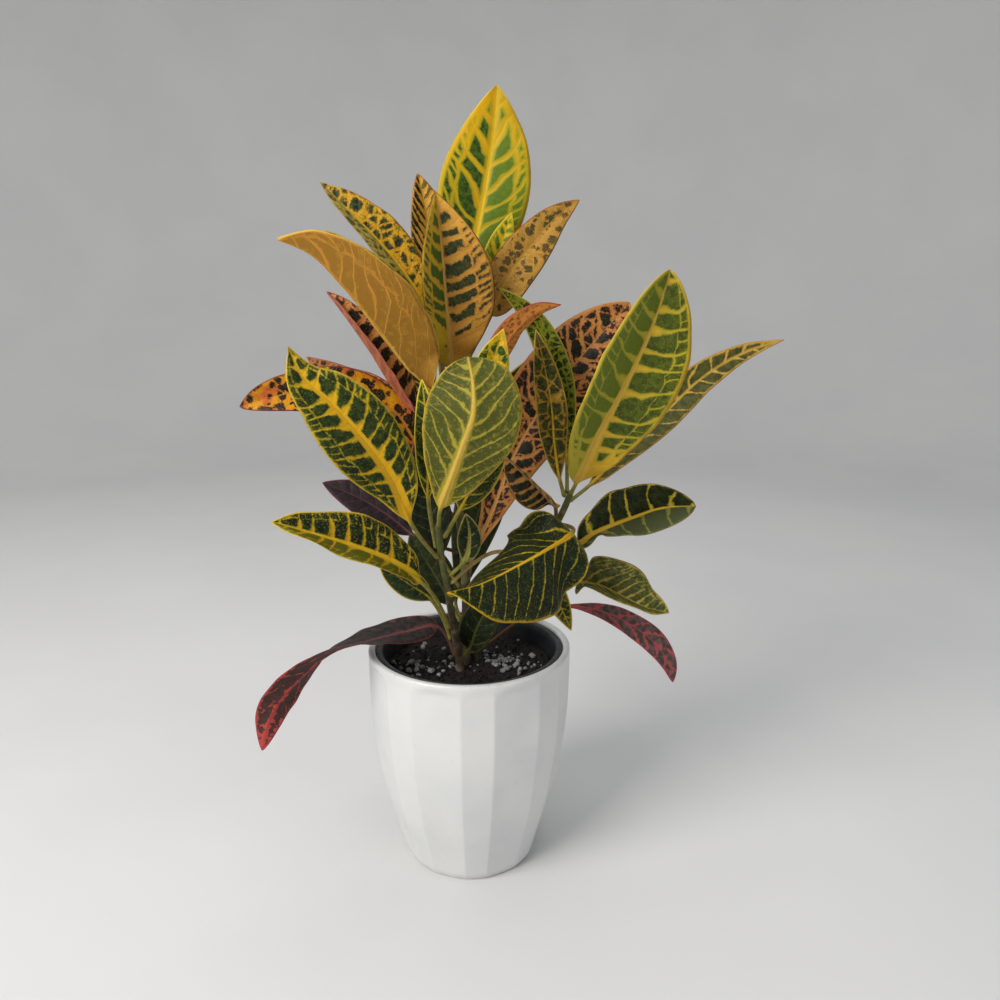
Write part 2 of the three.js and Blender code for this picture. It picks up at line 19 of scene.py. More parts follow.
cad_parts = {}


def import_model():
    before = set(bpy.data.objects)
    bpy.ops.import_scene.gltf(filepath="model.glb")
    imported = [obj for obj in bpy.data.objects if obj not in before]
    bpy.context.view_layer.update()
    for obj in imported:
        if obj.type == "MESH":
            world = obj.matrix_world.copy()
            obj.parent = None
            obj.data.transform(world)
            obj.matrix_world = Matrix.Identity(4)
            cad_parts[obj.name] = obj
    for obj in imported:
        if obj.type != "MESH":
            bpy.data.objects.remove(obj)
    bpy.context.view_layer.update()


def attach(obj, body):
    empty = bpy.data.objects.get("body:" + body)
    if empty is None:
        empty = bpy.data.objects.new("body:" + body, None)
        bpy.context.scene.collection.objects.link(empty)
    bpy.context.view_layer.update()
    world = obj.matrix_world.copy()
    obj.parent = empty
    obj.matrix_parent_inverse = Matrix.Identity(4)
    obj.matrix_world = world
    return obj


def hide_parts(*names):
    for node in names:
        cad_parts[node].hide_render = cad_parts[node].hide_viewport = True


MM = 0.001
BODY = "root"
UP = Vector((0, 0, 1))
SEED_STEP = 3.7
log = logging.getLogger("potted_croton")


class Slot(Enum):
    """The material slots that the part's record names."""

    WHITE_POT = "white_pot"
    BLACK_POT = "black_pot"
    SOIL = "soil"
    STEM = "stem"
    YOUNG = "leaf_young"
    GOLD = "leaf_gold"
    AMBER = "leaf_amber"
    ORANGE = "leaf_orange"
    GREEN = "leaf_green"
    MAROON = "leaf_maroon"


class Shoot(Enum):
    """The three stems, by the name of their solid."""

    MIDDLE = "stem_middle"
    FRONT = "stem_front"
    RIGHT = "stem_right"


class Marking(Enum):
    """How the dark patches of a leaf lie on its pale ground."""

    BANDS = "bars between the side veins"
    SPOTS = "round spots of many sizes"
    NET = "dark fields inside a net of veins"


def clamp(value: float, low: float = 0.0, high: float = 1.0) -> float:
    """Returns value, kept between low and high."""
    return max(low, min(high, value))


def lerp(start: float, end: float, share: float) -> float:
    """Returns the number that lies at share of the way from start to end."""
    return start + (end - start) * share


def smooth(share: float) -> float:
    """Returns 0 to 1 for a share from 0 to 1, with a soft start and end."""
    share = clamp(share)
    return share * share * (3 - 2 * share)


def on_circle(radius: float, turn: float, height: float) -> Vector:
    """Returns the point at a radius, an angle in radians and a height round the pot's axis."""
    return Vector((radius * math.cos(turn), radius * math.sin(turn), height))


def colour(code: str) -> tuple[float, float, float, float]:
    """Turns a colour as it looks on a screen into the linear one that a material needs.

    Args:
        code: Six hexadecimal digits after a number sign.

    Returns:
        Red, green, blue and an alpha of 1.
    """
    shown = [int(code[at : at + 2], 16) / 255 for at in (1, 3, 5)]
    red, green, blue = (c / 12.92 if c < 0.04 else ((c + 0.055) / 1.055) ** 2.4 for c in shown)
    return (red, green, blue, 1.0)


class Value:
    """An output inside a material, on which Python's operators add Math nodes."""

    def __init__(self, shader: Shader, socket: bpy.types.NodeSocket) -> None:
        """Keeps the shader and the output that the value stands for."""
        self.shader = shader
        self.socket = socket

    def __add__(self, other: Value | float) -> Value:
        """Returns self + other."""
        return self.shader.math("ADD", self, other)

    __radd__ = __add__

    def __sub__(self, other: Value | float) -> Value:
        """Returns self - other."""
        return self.shader.math("SUBTRACT", self, other)

    def __rsub__(self, other: float) -> Value:
        """Returns other - self."""
        return self.shader.math("SUBTRACT", other, self)

    def __mul__(self, other: Value | float) -> Value:
        """Returns self * other."""
        return self.shader.math("MULTIPLY", self, other)

    __rmul__ = __mul__

    def __truediv__(self, other: Value | float) -> Value:
        """Returns self / other."""
        return self.shader.math("DIVIDE", self, other)

    def __abs__(self) -> Value:
        """Returns self without its sign."""
        return self.shader.math("ABSOLUTE", self)

    def least(self, other: Value | float) -> Value:
        """Returns the smaller of self and other."""
        return self.shader.math("MINIMUM", self, other)

    def most(self, other: Value | float) -> Value:
        """Returns the larger of self and other."""
        return self.shader.math("MAXIMUM", self, other)

    def rise(self, low: float, high: float) -> Value:
        """Makes a soft step.

        Args:
            low: The number at which it begins.
            high: The number at which it ends.

        Returns:
            0 where self is below low, 1 where it is above high.
        """
        settings = {"interpolation_type": "SMOOTHSTEP"}
        inputs = {"Value": self, "From Min": low, "From Max": high}
        return self.shader.value("ShaderNodeMapRange", "Result", settings, inputs)


class Shader:
    """A material while its nodes are made."""

    def __init__(self, name: str) -> None:
        """Makes the material with one Principled shader on its output.

        Args:
            name: The material's name.
        """
        self.material = bpy.data.materials.new(name)
        self.material.use_nodes = True
        self.tree = self.material.node_tree
        self.tree.nodes.clear()
        self.surface = self.node("ShaderNodeBsdfPrincipled")
        output = self.node("ShaderNodeOutputMaterial")
        self.tree.links.new(self.surface.outputs["BSDF"], output.inputs["Surface"])

    def node(self, kind: str, settings: dict | None = None, inputs: dict | None = None) -> bpy.types.Node:
        """Adds a node.

        Args:
            kind: The node's type.
            settings: Its own settings, which are set first.
            inputs: What goes into its sockets, by their name or number.

        Returns:
            The new node.
        """
        made = self.tree.nodes.new(kind)
        for name, setting in (settings or {}).items():
            setattr(made, name, setting)
        for name, content in (inputs or {}).items():
            self.feed(made.inputs[name], content)
        return made

    def feed(self, socket: bpy.types.NodeSocket, content: Value | str | float | tuple) -> None:
        """Links a value to a socket, or sets the socket.

        Args:
            socket: The socket.
            content: A value, a number, a tuple or a colour's code.
        """
        if isinstance(content, Value):
            self.tree.links.new(content.socket, socket)
        else:
            socket.default_value = colour(content) if isinstance(content, str) else content

    def value(
        self, kind: str, output: str | int, settings: dict | None = None, inputs: dict | None = None
    ) -> Value:
        """Adds a node as node() does and returns one of its outputs as a value."""
        return Value(self, self.node(kind, settings, inputs).outputs[output])

    def math(self, operation: str, *parts: Value | float) -> Value:
        """Returns the result of a Math node on one to three parts."""
        return self.value("ShaderNodeMath", 0, {"operation": operation}, dict(enumerate(parts)))

    def mix(self, share: Value | float, start: Value | str, end: Value | str) -> Value:
        """Blends two colours.

        Args:
            share: The share of the way from start to end.
            start: The colour at 0.
            end: The colour at 1.

        Returns:
            The blend.
        """
        factor, first, second, result = 0, 6, 7, 2
        inputs = {factor: share, first: start, second: end}
        return self.value("ShaderNodeMix", result, {"data_type": "RGBA"}, inputs)

    def attribute(self, name: str) -> Value:
        """Returns a number that the piece's mesh holds."""
        return self.value("ShaderNodeAttribute", "Fac", {"attribute_name": name})

    def place(self, stretch: tuple[float, float, float] = (1, 1, 1)) -> Value:
        """Gives the piece's own coordinates.

        Args:
            stretch: What they are multiplied by.

        Returns:
            The coordinates in millimetres, stretched.
        """
        where = self.value("ShaderNodeTexCoord", "Object")
        scale = tuple(part / MM for part in stretch)
        return self.value("ShaderNodeMapping", "Vector", {}, {"Vector": where, "Scale": scale})

    def height(self, where: Value) -> Value:
        """Returns the height of a place."""
        return self.value("ShaderNodeSeparateXYZ", "Z", {}, {"Vector": where})

    def cloud(self, where: Value, size: float, detail: float = 2.0, roughness: float = 0.5) -> Value:
        """Returns soft noise round 0.5, with features of that size."""
        inputs = {"Vector": where, "Scale": 1 / size, "Detail": detail, "Roughness": roughness}
        return self.value("ShaderNodeTexNoise", 0, {}, inputs)

    def cells(self, where: Value, size: float, feature: str, output: str = "Distance") -> Value:
        """Returns one output of a cell pattern, with cells of that size."""
        inputs = {"Vector": where, "Scale": 1 / size, "Randomness": 0.85}
        return self.value("ShaderNodeTexVoronoi", output, {"feature": feature}, inputs)

    def dress(self, constants: dict, **varying: Value) -> bpy.types.Material:
        """Feeds the Principled shader.

        Args:
            constants: Socket name and number for what is the same all over.
            varying: Values for base_color, roughness and height. height is in millimetres.

        Returns:
            The finished material.
        """
        for name, number in constants.items():
            self.feed(self.surface.inputs[name], number)
        self.feed(self.surface.inputs["Base Color"], varying["base_color"])
        self.feed(self.surface.inputs["Roughness"], varying["roughness"])
        inputs = {"Height": varying["height"], "Distance": MM, "Strength": 1.0}
        bump = self.value("ShaderNodeBump", "Normal", {}, inputs)
        self.feed(self.surface.inputs["Normal"], bump)
        return self.material


Spot = tuple[Vector, Sequence[float]]


def sleeve(
    rings: int,
    around: int,
    point: Callable[[int, int], Spot],
    layers: Sequence[str] = (),
    first_half: str = "",
) -> bmesh.types.BMesh:
    """Rolls a grid up into a closed skin.

    Args:
        rings: How many faces the grid has along the skin.
        around: How many faces it has round the skin.
        point: Gives the place of a corner from its ring and its column, and its numbers for layers.
        layers: Names of the numbers that each corner keeps.
        first_half: Name of a number that is 1 on the faces of the first half of the columns.

    Returns:
        The skin, with its seam and its ends closed and its faces pointing outwards.
    """
    skin = bmesh.new()
    bmesh.ops.create_grid(skin, x_segments=around, y_segments=rings, size=1.0)
    if first_half:
        half = skin.faces.layers.float.new(first_half)
        for face in skin.faces:
            face[half] = 1.0 if face.calc_center_median().x < 0 else 0.0
    numbers = [skin.verts.layers.float.new(name) for name in layers]
    for corner in skin.verts:
        ring = round((corner.co.y + 1) / 2 * rings)
        column = round((corner.co.x + 1) / 2 * around)
        place, kept = point(ring, column)
        corner.co = place
        for layer, number in zip(numbers, kept):
            corner[layer] = number
    bmesh.ops.remove_doubles(skin, verts=skin.verts, dist=0.002)
    bmesh.ops.dissolve_degenerate(skin, edges=skin.edges, dist=0.0001)
    bmesh.ops.recalc_face_normals(skin, faces=skin.faces)
    return skin


def pierce(shape: bmesh.types.BMesh, drills: bmesh.types.BMesh) -> bmesh.types.BMesh:
    """Takes the room that some drills fill out of a shape.

    Args:
        shape: The shape, which is used up.
        drills: The closed shapes to take out of it, which are used up.

    Returns:
        The shape with its holes.
    """
    objects = []
    for name, part in (("pierced", shape), ("drills", drills)):
        mesh = bpy.data.meshes.new(name)
        part.to_mesh(mesh)
        part.free()
        objects.append(bpy.data.objects.new(name, mesh))
        bpy.context.scene.collection.objects.link(objects[-1])
    cut = objects[0].modifiers.new("holes", "BOOLEAN")
    cut.operation = "DIFFERENCE"
    cut.solver = "EXACT"
    cut.object = objects[1]
    pierced = bmesh.new()
    pierced.from_object(objects[0], bpy.context.evaluated_depsgraph_get())
    for item in objects:
        bpy.data.meshes.remove(item.data)
    return pierced


def finish_piece(
    name: str,
    shape: bmesh.types.BMesh,
    material: bpy.types.Material,
    slot: Slot | None = None,
    nodes: Sequence[str] = (),
) -> bpy.types.Object:
    """Makes an object of a shape and, unless it is a stage piece, hangs it on the frame's body.

    Args:
        name: The piece's name.
        shape: Its mesh in millimetres, which is used up.
        material: Its finish.
        slot: The record's slot for that finish, or None for stage pieces. Only whether it is None is
            read.
        nodes: The solids that the piece stands for.

    Returns:
        The object, at the origin and in metres.
    """
    bmesh.ops.scale(shape, vec=(MM, MM, MM), verts=shape.verts)
    for face in shape.faces:
        face.smooth = True
    mesh = bpy.data.meshes.new(name)
    shape.to_mesh(mesh)
    shape.free()
    mesh.materials.append(material)
    piece = bpy.data.objects.new(name, mesh)
    bpy.context.scene.collection.objects.link(piece)
    if slot is None:
        return piece
    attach(piece, BODY)
    if nodes:
        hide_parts(*nodes)
    log.info("%s: %d faces", name, len(mesh.polygons))
    return piece


class SmoothPath:
    """A soft curve through points. A place on it is given in millimetres along its chords."""

    def __init__(self, points: Sequence[Vector]) -> None:
        """Works out where the curve passes its points and how it runs there.

        Args:
            points: The points, from the start to the end.
        """
        self.points = points
        self.knots = [0.0]
        for before, after in zip(points, points[1:]):
            self.knots.append(self.knots[-1] + (after - before).length)
        slopes = [
            (points[at + 1] - points[at]) / (self.knots[at + 1] - self.knots[at])
            for at in range(len(points) - 1)
        ]
        inner = []
        for at in range(1, len(slopes)):
            before = self.knots[at] - self.knots[at - 1]
            after = self.knots[at + 1] - self.knots[at]
            inner.append((slopes[at] * before + slopes[at - 1] * after) / (before + after))
        first = slopes[0] * 1.5 - (inner or slopes)[0] * 0.5
        last = slopes[-1] * 1.5 - (inner or slopes)[-1] * 0.5
        self.tangents = [first, *inner, last]

    @property
    def length(self) -> float:
        """The length along the chords."""
        return self.knots[-1]

    def _blend(self, along: float, weights: Callable[[float, float], tuple]) -> Vector:
        """Blends the two points and two tangents round a place.

        Args:
            along: The place.
            weights: Gives their weights from the share of the way between the points and its length.

        Returns:
            Their sum, each times its weight.
        """
        at = 0
        while at < len(self.knots) - 2 and along > self.knots[at + 1]:
            at += 1
        span = self.knots[at + 1] - self.knots[at]
        a, b, c, d = weights((along - self.knots[at]) / span, span)
        near = self.points[at] * a + self.points[at + 1] * b
        return near + self.tangents[at] * c + self.tangents[at + 1] * d

    def place(self, along: float) -> Vector:
        """Finds a point of the curve.

        Args:
            along: The place. Before 0, the curve goes on straight.

        Returns:
            The point.
        """
        if along < 0:
            return self.points[0] + self.direction(0) * along
        return self._blend(
            along,
            lambda t, span: (
                2 * t**3 - 3 * t**2 + 1,
                -2 * t**3 + 3 * t**2,
                (t**3 - 2 * t**2 + t) * span,
                (t**3 - t**2) * span,
            ),
        )

    def direction(self, along: float) -> Vector:
        """Finds how the curve runs.

        Args:
            along: The place.

        Returns:
            The unit vector along the curve there.
        """
        return self._blend(
            max(along, 0.0),
            lambda t, span: (
                (6 * t**2 - 6 * t) / span,
                (-6 * t**2 + 6 * t) / span,
                3 * t**2 - 4 * t + 1,
                3 * t**2 - 2 * t,
            ),
        ).normalized()


class Blade:
    """The numbers that a leaf's mesh holds and the noise on it, as its finish reads them."""

    FINE, COARSE, BROAD, GRIT = 1.2, 3.4, 11, 0.85

    def __init__(self, shader: Shader, seed: float) -> None:
        """Reads the numbers and lays the noise.

        Args:
            shader: The material's shader.
            seed: A number that moves the noise.
        """
        layers = [shader.attribute(layer) for layer in Leaf.LAYERS]
        self.along, self.across, self.half, self.reach, self.vein = layers
        self.upper = shader.attribute(Leaf.UPPER)
        self.from_rib = abs(self.across)
        self.from_edge = self.half - self.from_rib
        inputs = {"X": self.across, "Y": self.along, "Z": seed}
        self.spot = shader.value("ShaderNodeCombineXYZ", "Vector", {}, inputs)
        self.fine = shader.cloud(self.spot, self.FINE, 3, 0.6) - 0.5
        self.coarse = shader.cloud(self.spot, self.COARSE, 2) - 0.5
        self.broad = shader.cloud(self.spot, self.BROAD, 2)
        self.grit = shader.cloud(self.spot, self.GRIT, 1)


# Where a soft step begins and where it ends.
Step = tuple[float, float]


@dataclass(frozen=True)
class LeafFinish:
    """The look of one leaf. Lengths are millimetres on the blade.

    The upper side has a ground colour with dark patches on it, a midrib and a thin margin line. The
    patches leave side veins of the ground colour free, which may flare at the midrib, fork and join
    near the margin and have cross veins between them. Three noises roughen the patches: ragged is the
    finest, uneven is coarser and swell the broadest. One half of a blade may have colours of its own:
    paler on most leaves that use it, painted light on the lit right half of crown_tall and painted
    shade on the shaded lower half of right_lance. The underside has its own colours, and some of the
    patches show through.
    """

    ground: str = "#cfa517"
    blush: str = "#d8b822"
    patch: str = "#476919"
    deep: str = "#274213"
    halo: str = "#8f931a"
    rib: str = "#d6b023"
    line: str = "#d9c43e"
    stalk: str = "#8c8440"
    stalk_shade: str = "#5d541f"
    scorch: str = "#5f4217"
    under: str = "#a9a22f"
    under_patch: str = "#6b7c25"
    under_rib: str = "#c8b842"
    marking: Marking = Marking.BANDS
    rib_width: float = 1.5
    margin: float = 1.2
    rib_uneven: float = 1.4
    rib_ragged: float = 1.6
    vein: float = 0.8
    vein_start: float = 1.35
    taper: float = 0.8
    flare: float = 0.0
    flare_reach: float = 0.4
    fork: float = 0.64
    fork_start: float = 0.5
    fork_end: float = 0.66
    fork_depth: float = 9.0
    loop: float = 0.0
    cross: float = 0.0
    spacing: float = 8.5
    slope: float = 0.62
    cell: float = 6.0
    filled: float = 0.42
    least_spot: float = 0.1
    ragged: float = 2.4
    uneven: float = 2.0
    swell: float = 1.4
    share_sway: float = 0.3
    share_uneven: float = 0.06
    least_half: float = 2.0
    halo_width: float = 0.9
    halo_share: float = 0.75
    rib_share: float = 0.85
    # Width and strength of the painted shade down the midrib's crease.
    crease_shade_width: float = 0.4
    crease_shade_share: float = 0.35
    soft: float = 0.0
    fleck: float = 0.5
    edge_flecks: float = 0.13
    speck: float = 0.0
    tip_fade: float = 0.0
    foot_fade: float = 0.0
    foot_reach: float = 0.4
    blush_share: float = 0.35
    pale_half: int = 0
    pale_share: float = 0.85
    pale_fade: float = 0.0
    pale_ground: str = "#d6c031"
    pale_patch: str = "#7c9223"
    seen_through: float = 0.7
    under_mottle: float = 0.2
    under_veins: float = 0.35
    line_width: float = 0.7
    line_share: float = 0.9
    scorch_share: float = 0.45
    stalk_mottle: float = 0.45
    quilt: float = 0.45
    groove_depth: float = 0.1
    grain_size: float = 0.55
    grain_depth: float = 0.05
    dent_depth: float = 0.25
    gloss: float = 0.48
    under_matt: float = 0.16
    sheen: float = 0.13
    patch_step: Step = (-0.15, 0.25)
    deep_step: Step = (-0.14, 0.12)
    blush_step: Step = (0.45, 0.62)
    fleck_step: Step = (0.6, 0.66)
    speck_step: Step = (0.33, 0.4)
    scorch_step: Step = (0.7, 0.74)
    half_step: Step = (-0.3, 0.3)
    rib_step: Step = (-0.6, 0.1)
    under_rib_step: Step = (-0.4, 0.2)
    under_vein_step: Step = (0.1, 0.45)
    under_mottle_step: Step = (0.02, 0.2)
    stalk_mottle_step: Step = (-0.15, 0.15)
    stalk_step: Step = (-4, 5)

    def _bands(self, shader: Shader, blade: Blade, share: Value) -> Value:
        """Works out the bars between the side veins, which may fork, join and be cut across.

        Args:
            shader: The material's shader.
            blade: The blade's numbers.
            share: How far the place is from the midrib to the margin, from 0 to 1.

        Returns:
            Millimetres, above 0 inside a bar.
        """
        turn = abs(shader.math("FRACT", blade.vein) - 0.5)
        width = (self.vein_start - share * self.taper) * self.vein
        width = width + (1 - share.rise(0, self.flare_reach)) * self.flare
        field = (0.5 - turn) * self.spacing - width
        if self.loop:
            inner = (1 - share.rise(self.fork_start, self.fork_end)) * self.fork_depth
            field = field.least(turn * self.spacing + inner - width * 0.5)
            field = field.least(abs(share - self.fork) * blade.half - self.loop)
        if self.cross:
            field = field.least(self._net(shader, blade, self.cross))
        return field

    def _net(self, shader: Shader, blade: Blade, line: float) -> Value:
        """Returns how far a point lies inside a mesh of a net, in millimetres."""
        return shader.cells(blade.spot, self.cell, "DISTANCE_TO_EDGE") * self.cell - line

    def _spots(self, shader: Shader, blade: Blade) -> Value:
        """Works out round spots of many sizes.

        Args:
            shader: The material's shader.
            blade: The blade's numbers.

        Returns:
            Millimetres, above 0 inside a spot.
        """
        tint = shader.cells(blade.spot, self.cell, "F1", "Color")
        chance = shader.value("ShaderNodeSeparateColor", "Red", {}, {"Color": tint})
        centre = shader.cells(blade.spot, self.cell, "F1")
        return (chance * self.filled + self.least_spot - centre) * self.cell

    def _clear(self, shader: Shader, blade: Blade, rib_edge: Value) -> Value:
        """Works out how far a point lies inside a dark patch.

        Args:
            shader: The material's shader.
            blade: The blade's numbers.
            rib_edge: How far the midrib's colour reaches to each side.

        Returns:
            Millimetres, above 0 inside a patch.
        """
        sway = blade.broad - 0.5
        share = blade.from_rib / blade.half.most(self.least_half)
        share = share + sway * self.share_sway + blade.coarse * self.share_uneven
        if self.marking is Marking.BANDS:
            field = self._bands(shader, blade, share)
        elif self.marking is Marking.NET:
            field = self._net(shader, blade, self.vein)
        else:
            field = self._spots(shader, blade)
        room = (blade.from_rib - rib_edge).least(blade.from_edge - self.margin)
        clear = field.least(room) + blade.fine * self.ragged + blade.coarse * self.uneven
        clear = clear + sway * self.swell - blade.reach * blade.reach * self.tip_fade
        return clear - (1 - blade.reach.rise(0, self.foot_reach)) * self.foot_fade

    def _top(self, shader: Shader, blade: Blade, clear: Value, rib_edge: Value) -> tuple[Value, ...]:
        """Colours the upper side.

        Args:
            shader: The material's shader.
            blade: The blade's numbers.
            clear: How far a point lies inside a dark patch.
            rib_edge: How far the midrib's colour reaches to each side.

        Returns:
            The colour, how much of a patch a point is and how much of a speck.
        """
        near_edge = 1 - blade.from_edge.rise(self.margin * 0.5, self.margin * 2 + 2)
        flecks = (blade.grit + near_edge * self.edge_flecks).rise(*self.fleck_step) * self.fleck
        low, high = self.patch_step
        patch = clear.rise(low - self.soft, high + self.soft) * (1 - flecks)
        specks = (1 - blade.grit.rise(*self.speck_step)) * self.speck
        blush = blade.broad.rise(*self.blush_step) * self.blush_share
        ground = shader.mix(blush, self.ground, self.blush)
        dark = shader.mix(blade.coarse.rise(*self.deep_step), self.patch, self.deep)
        # The other half's own colours: real on most leaves, painted light on crown_tall's lit right half
        # and painted shade on right_lance's shaded lower half.
        if self.pale_half:
            side = blade.across * self.pale_half
            pale = side.rise(*self.half_step) * self.pale_share
            ground = shader.mix(pale, ground, self.pale_ground)
            dark = shader.mix(pale, dark, self.pale_patch)
            patch = patch * (1 - pale * self.pale_fade)
        halo = clear.rise(-self.halo_width, 0.1) * self.halo_share
        top = shader.mix(halo, ground, self.halo)
        top = shader.mix(specks, top, self.deep)
        top = shader.mix(patch, top, dark)
        on_rib = 1 - (blade.from_rib - rib_edge).rise(*self.rib_step)
        top = shader.mix(on_rib * self.rib_share, top, self.rib)
        # Painted shade: a thin dark line of the halo colour down the crease in the middle of the midrib.
        crease_shade = (1 - blade.from_rib.rise(0.05, self.crease_shade_width)) * self.crease_shade_share
        return shader.mix(crease_shade, top, self.halo), patch, specks

    def _below(self, shader: Shader, blade: Blade, patch: Value, specks: Value, rib_edge: Value) -> Value:
        """Colours the underside, on which the patches show through.

        Args:
            shader: The material's shader.
            blade: The blade's numbers.
            patch: How much of a dark patch a point of the upper side is.
            specks: How much of a speck it is.
            rib_edge: How far the midrib's colour reaches to each side.

        Returns:
            The colour.
        """
        below = shader.mix(patch * self.seen_through, self.under, self.under_patch)
        mottle = blade.coarse.rise(*self.under_mottle_step) * self.under_mottle
        below = shader.mix(mottle, below, self.under_rib)
        below = shader.mix(specks * self.seen_through, below, self.under_patch)
        fine_vein = 1 - self._from_vein(shader, blade).rise(*self.under_vein_step)
        below = shader.mix(fine_vein * self.under_veins, below, self.under_rib)
        on_rib = 1 - (blade.from_rib - 0.6 * rib_edge).rise(*self.under_rib_step)
        return shader.mix(on_rib, below, self.under_rib)

    def _from_vein(self, shader: Shader, blade: Blade) -> Value:
        """Returns the distance to the nearest side vein."""
        return (0.5 - abs(shader.math("FRACT", blade.vein) - 0.5)) * self.spacing

    def build(self, name: str, seed: float) -> bpy.types.Material:
        """Makes the material.

        Args:
            name: The material's name.
            seed: A number that moves the noise, so that no two leaves are alike.

        Returns:
            The material, which reads the numbers that a leaf's mesh holds.
        """
        shader = Shader(name)
        blade = Blade(shader, seed)
        rib_edge = (1.1 - blade.reach) * self.rib_width
        rib_edge = rib_edge + blade.coarse * self.rib_uneven + blade.fine * self.rib_ragged
        clear = self._clear(shader, blade, rib_edge)
        top, patch, specks = self._top(shader, blade, clear, rib_edge)
        below = self._below(shader, blade, patch, specks, rib_edge)
        body = shader.mix(blade.upper, below, top)
        on_line = 1 - blade.from_edge.rise(self.line_width * 0.5, self.line_width * 1.3)
        body = shader.mix(on_line * self.line_share, body, self.line)
        scorched = blade.grit.rise(*self.scorch_step) * self.scorch_share
        body = shader.mix(scorched, body, self.scorch)
        mottle = blade.coarse.rise(*self.stalk_mottle_step) * self.stalk_mottle
        stalk = shader.mix(mottle, self.stalk, self.stalk_shade)
        body = shader.mix(1 - blade.along.rise(*self.stalk_step), body, stalk)

        grain = shader.cloud(blade.spot, self.grain_size, 2)
        groove = self._from_vein(shader, blade).rise(0, 0.8) * self.groove_depth
        groove = groove + grain * self.grain_depth + blade.broad * self.dent_depth
        roughness = self.under_matt * (1 - blade.upper) + grain * 0.16 + (self.gloss - 0.08)
        constants = {"Specular IOR Level": self.sheen}
        return shader.dress(constants, base_color=body, roughness=roughness, height=groove)


@dataclass(frozen=True)
class GlazeFinish:
    """The satin white of the cover pot, a little worn at its foot and its rim."""

    white: str = "#d8d8d6"
    cool: str = "#cfd1d1"
    dust: str = "#b9b4a8"
    speck: str = "#8a857c"
    height: float = 145.0
    cloud_size: float = 38.0
    dusty_foot: float = 7.0
    worn_rim: float = 3.0
    scuff_size: float = 1.4
    scuff_stretch: float = 0.18
    speck_spacing: float = 9.0
    sheen: float = 0.5
    coat: float = 0.15
    coat_roughness: float = 0.18

    def build(self) -> bpy.types.Material:
        """Makes the material.

        Returns:
            The material.
        """
        shader = Shader("satin_white")
        where = shader.place()
        height = shader.height(where)
        clouds = shader.cloud(where, self.cloud_size, 3)
        body = shader.mix(clouds.rise(0.35, 0.7), self.white, self.cool)
        low = (1 - height.rise(0.5, self.dusty_foot)) * shader.cloud(where, 5, 4).rise(0.35, 0.75)
        high = height.rise(self.height - self.worn_rim, self.height)
        high = high * shader.cloud(where, 4, 3).rise(0.5, 0.7)
        upright = shader.place((1, 1, self.scuff_stretch))
        scuff = shader.cloud(upright, self.scuff_size, 3).rise(0.68, 0.8)
        specks = 1 - shader.cells(where, self.speck_spacing, "F1").rise(0.03, 0.06)
        body = shader.mix((low * 0.4 + high * 0.3 + scuff * 0.12).least(1), body, self.dust)
        body = shader.mix(specks * 0.35, body, self.speck)
        roughness = clouds * 0.1 + scuff * 0.2 + low * 0.2 + 0.26
        ripple = shader.cloud(where, 9, 2) * 0.12 + shader.cloud(where, 1.1, 2) * 0.012
        constants = {
            "Specular IOR Level": self.sheen,
            "Coat Weight": self.coat,
            "Coat Roughness": self.coat_roughness,
        }
        return shader.dress(constants, base_color=body, roughness=roughness, height=ripple)


@dataclass(frozen=True)
class GrowerFinish:
    """The thin dark plastic of the nursery pot, dusty with soil."""

    plastic: str = "#15191c"
    faded: str = "#22272a"
    soil: str = "#241f1a"
    rubbed: str = "#4c5154"
    soil_line: float = 131.0
    splash_height: float = 9.0
    top: float = 143.2
    rubbed_height: float = 1.0
    blotch_size: float = 16.0
    splash_size: float = 2.2
    streak_stretch: float = 0.12
    sheen: float = 0.4

    def build(self) -> bpy.types.Material:
        """Makes the material.

        Returns:
            The material.
        """
        shader = Shader("grower_plastic")
        where = shader.place()
        height = shader.height(where)
        blotches = shader.cloud(where, self.blotch_size, 3).rise(0.35, 0.65)
        body = shader.mix(blotches, self.plastic, self.faded)
        splash = shader.cloud(where, self.splash_size, 4).rise(0.5, 0.7)
        low = 1 - height.rise(self.soil_line - 1, self.soil_line + self.splash_height)
        upright = shader.place((1, 1, self.streak_stretch))
        streak = shader.cloud(upright, self.splash_size, 2).rise(0.55, 0.75) * 0.3
        body = shader.mix((splash * low * 0.85 + streak).least(1), body, self.soil)
        rubbed = height.rise(self.top - self.rubbed_height, self.top)
        rubbed = rubbed * shader.cloud(where, 3, 3).rise(0.4, 0.7)
        body = shader.mix(rubbed * 0.3, body, self.rubbed)
        roughness = splash * 0.2 + shader.cloud(where, 0.8, 2) * 0.15 + 0.35
        grain = shader.cloud(where, 0.7, 2) * 0.06
        constants = {"Specular IOR Level": self.sheen}
        return shader.dress(constants, base_color=body, roughness=roughness, height=grain)


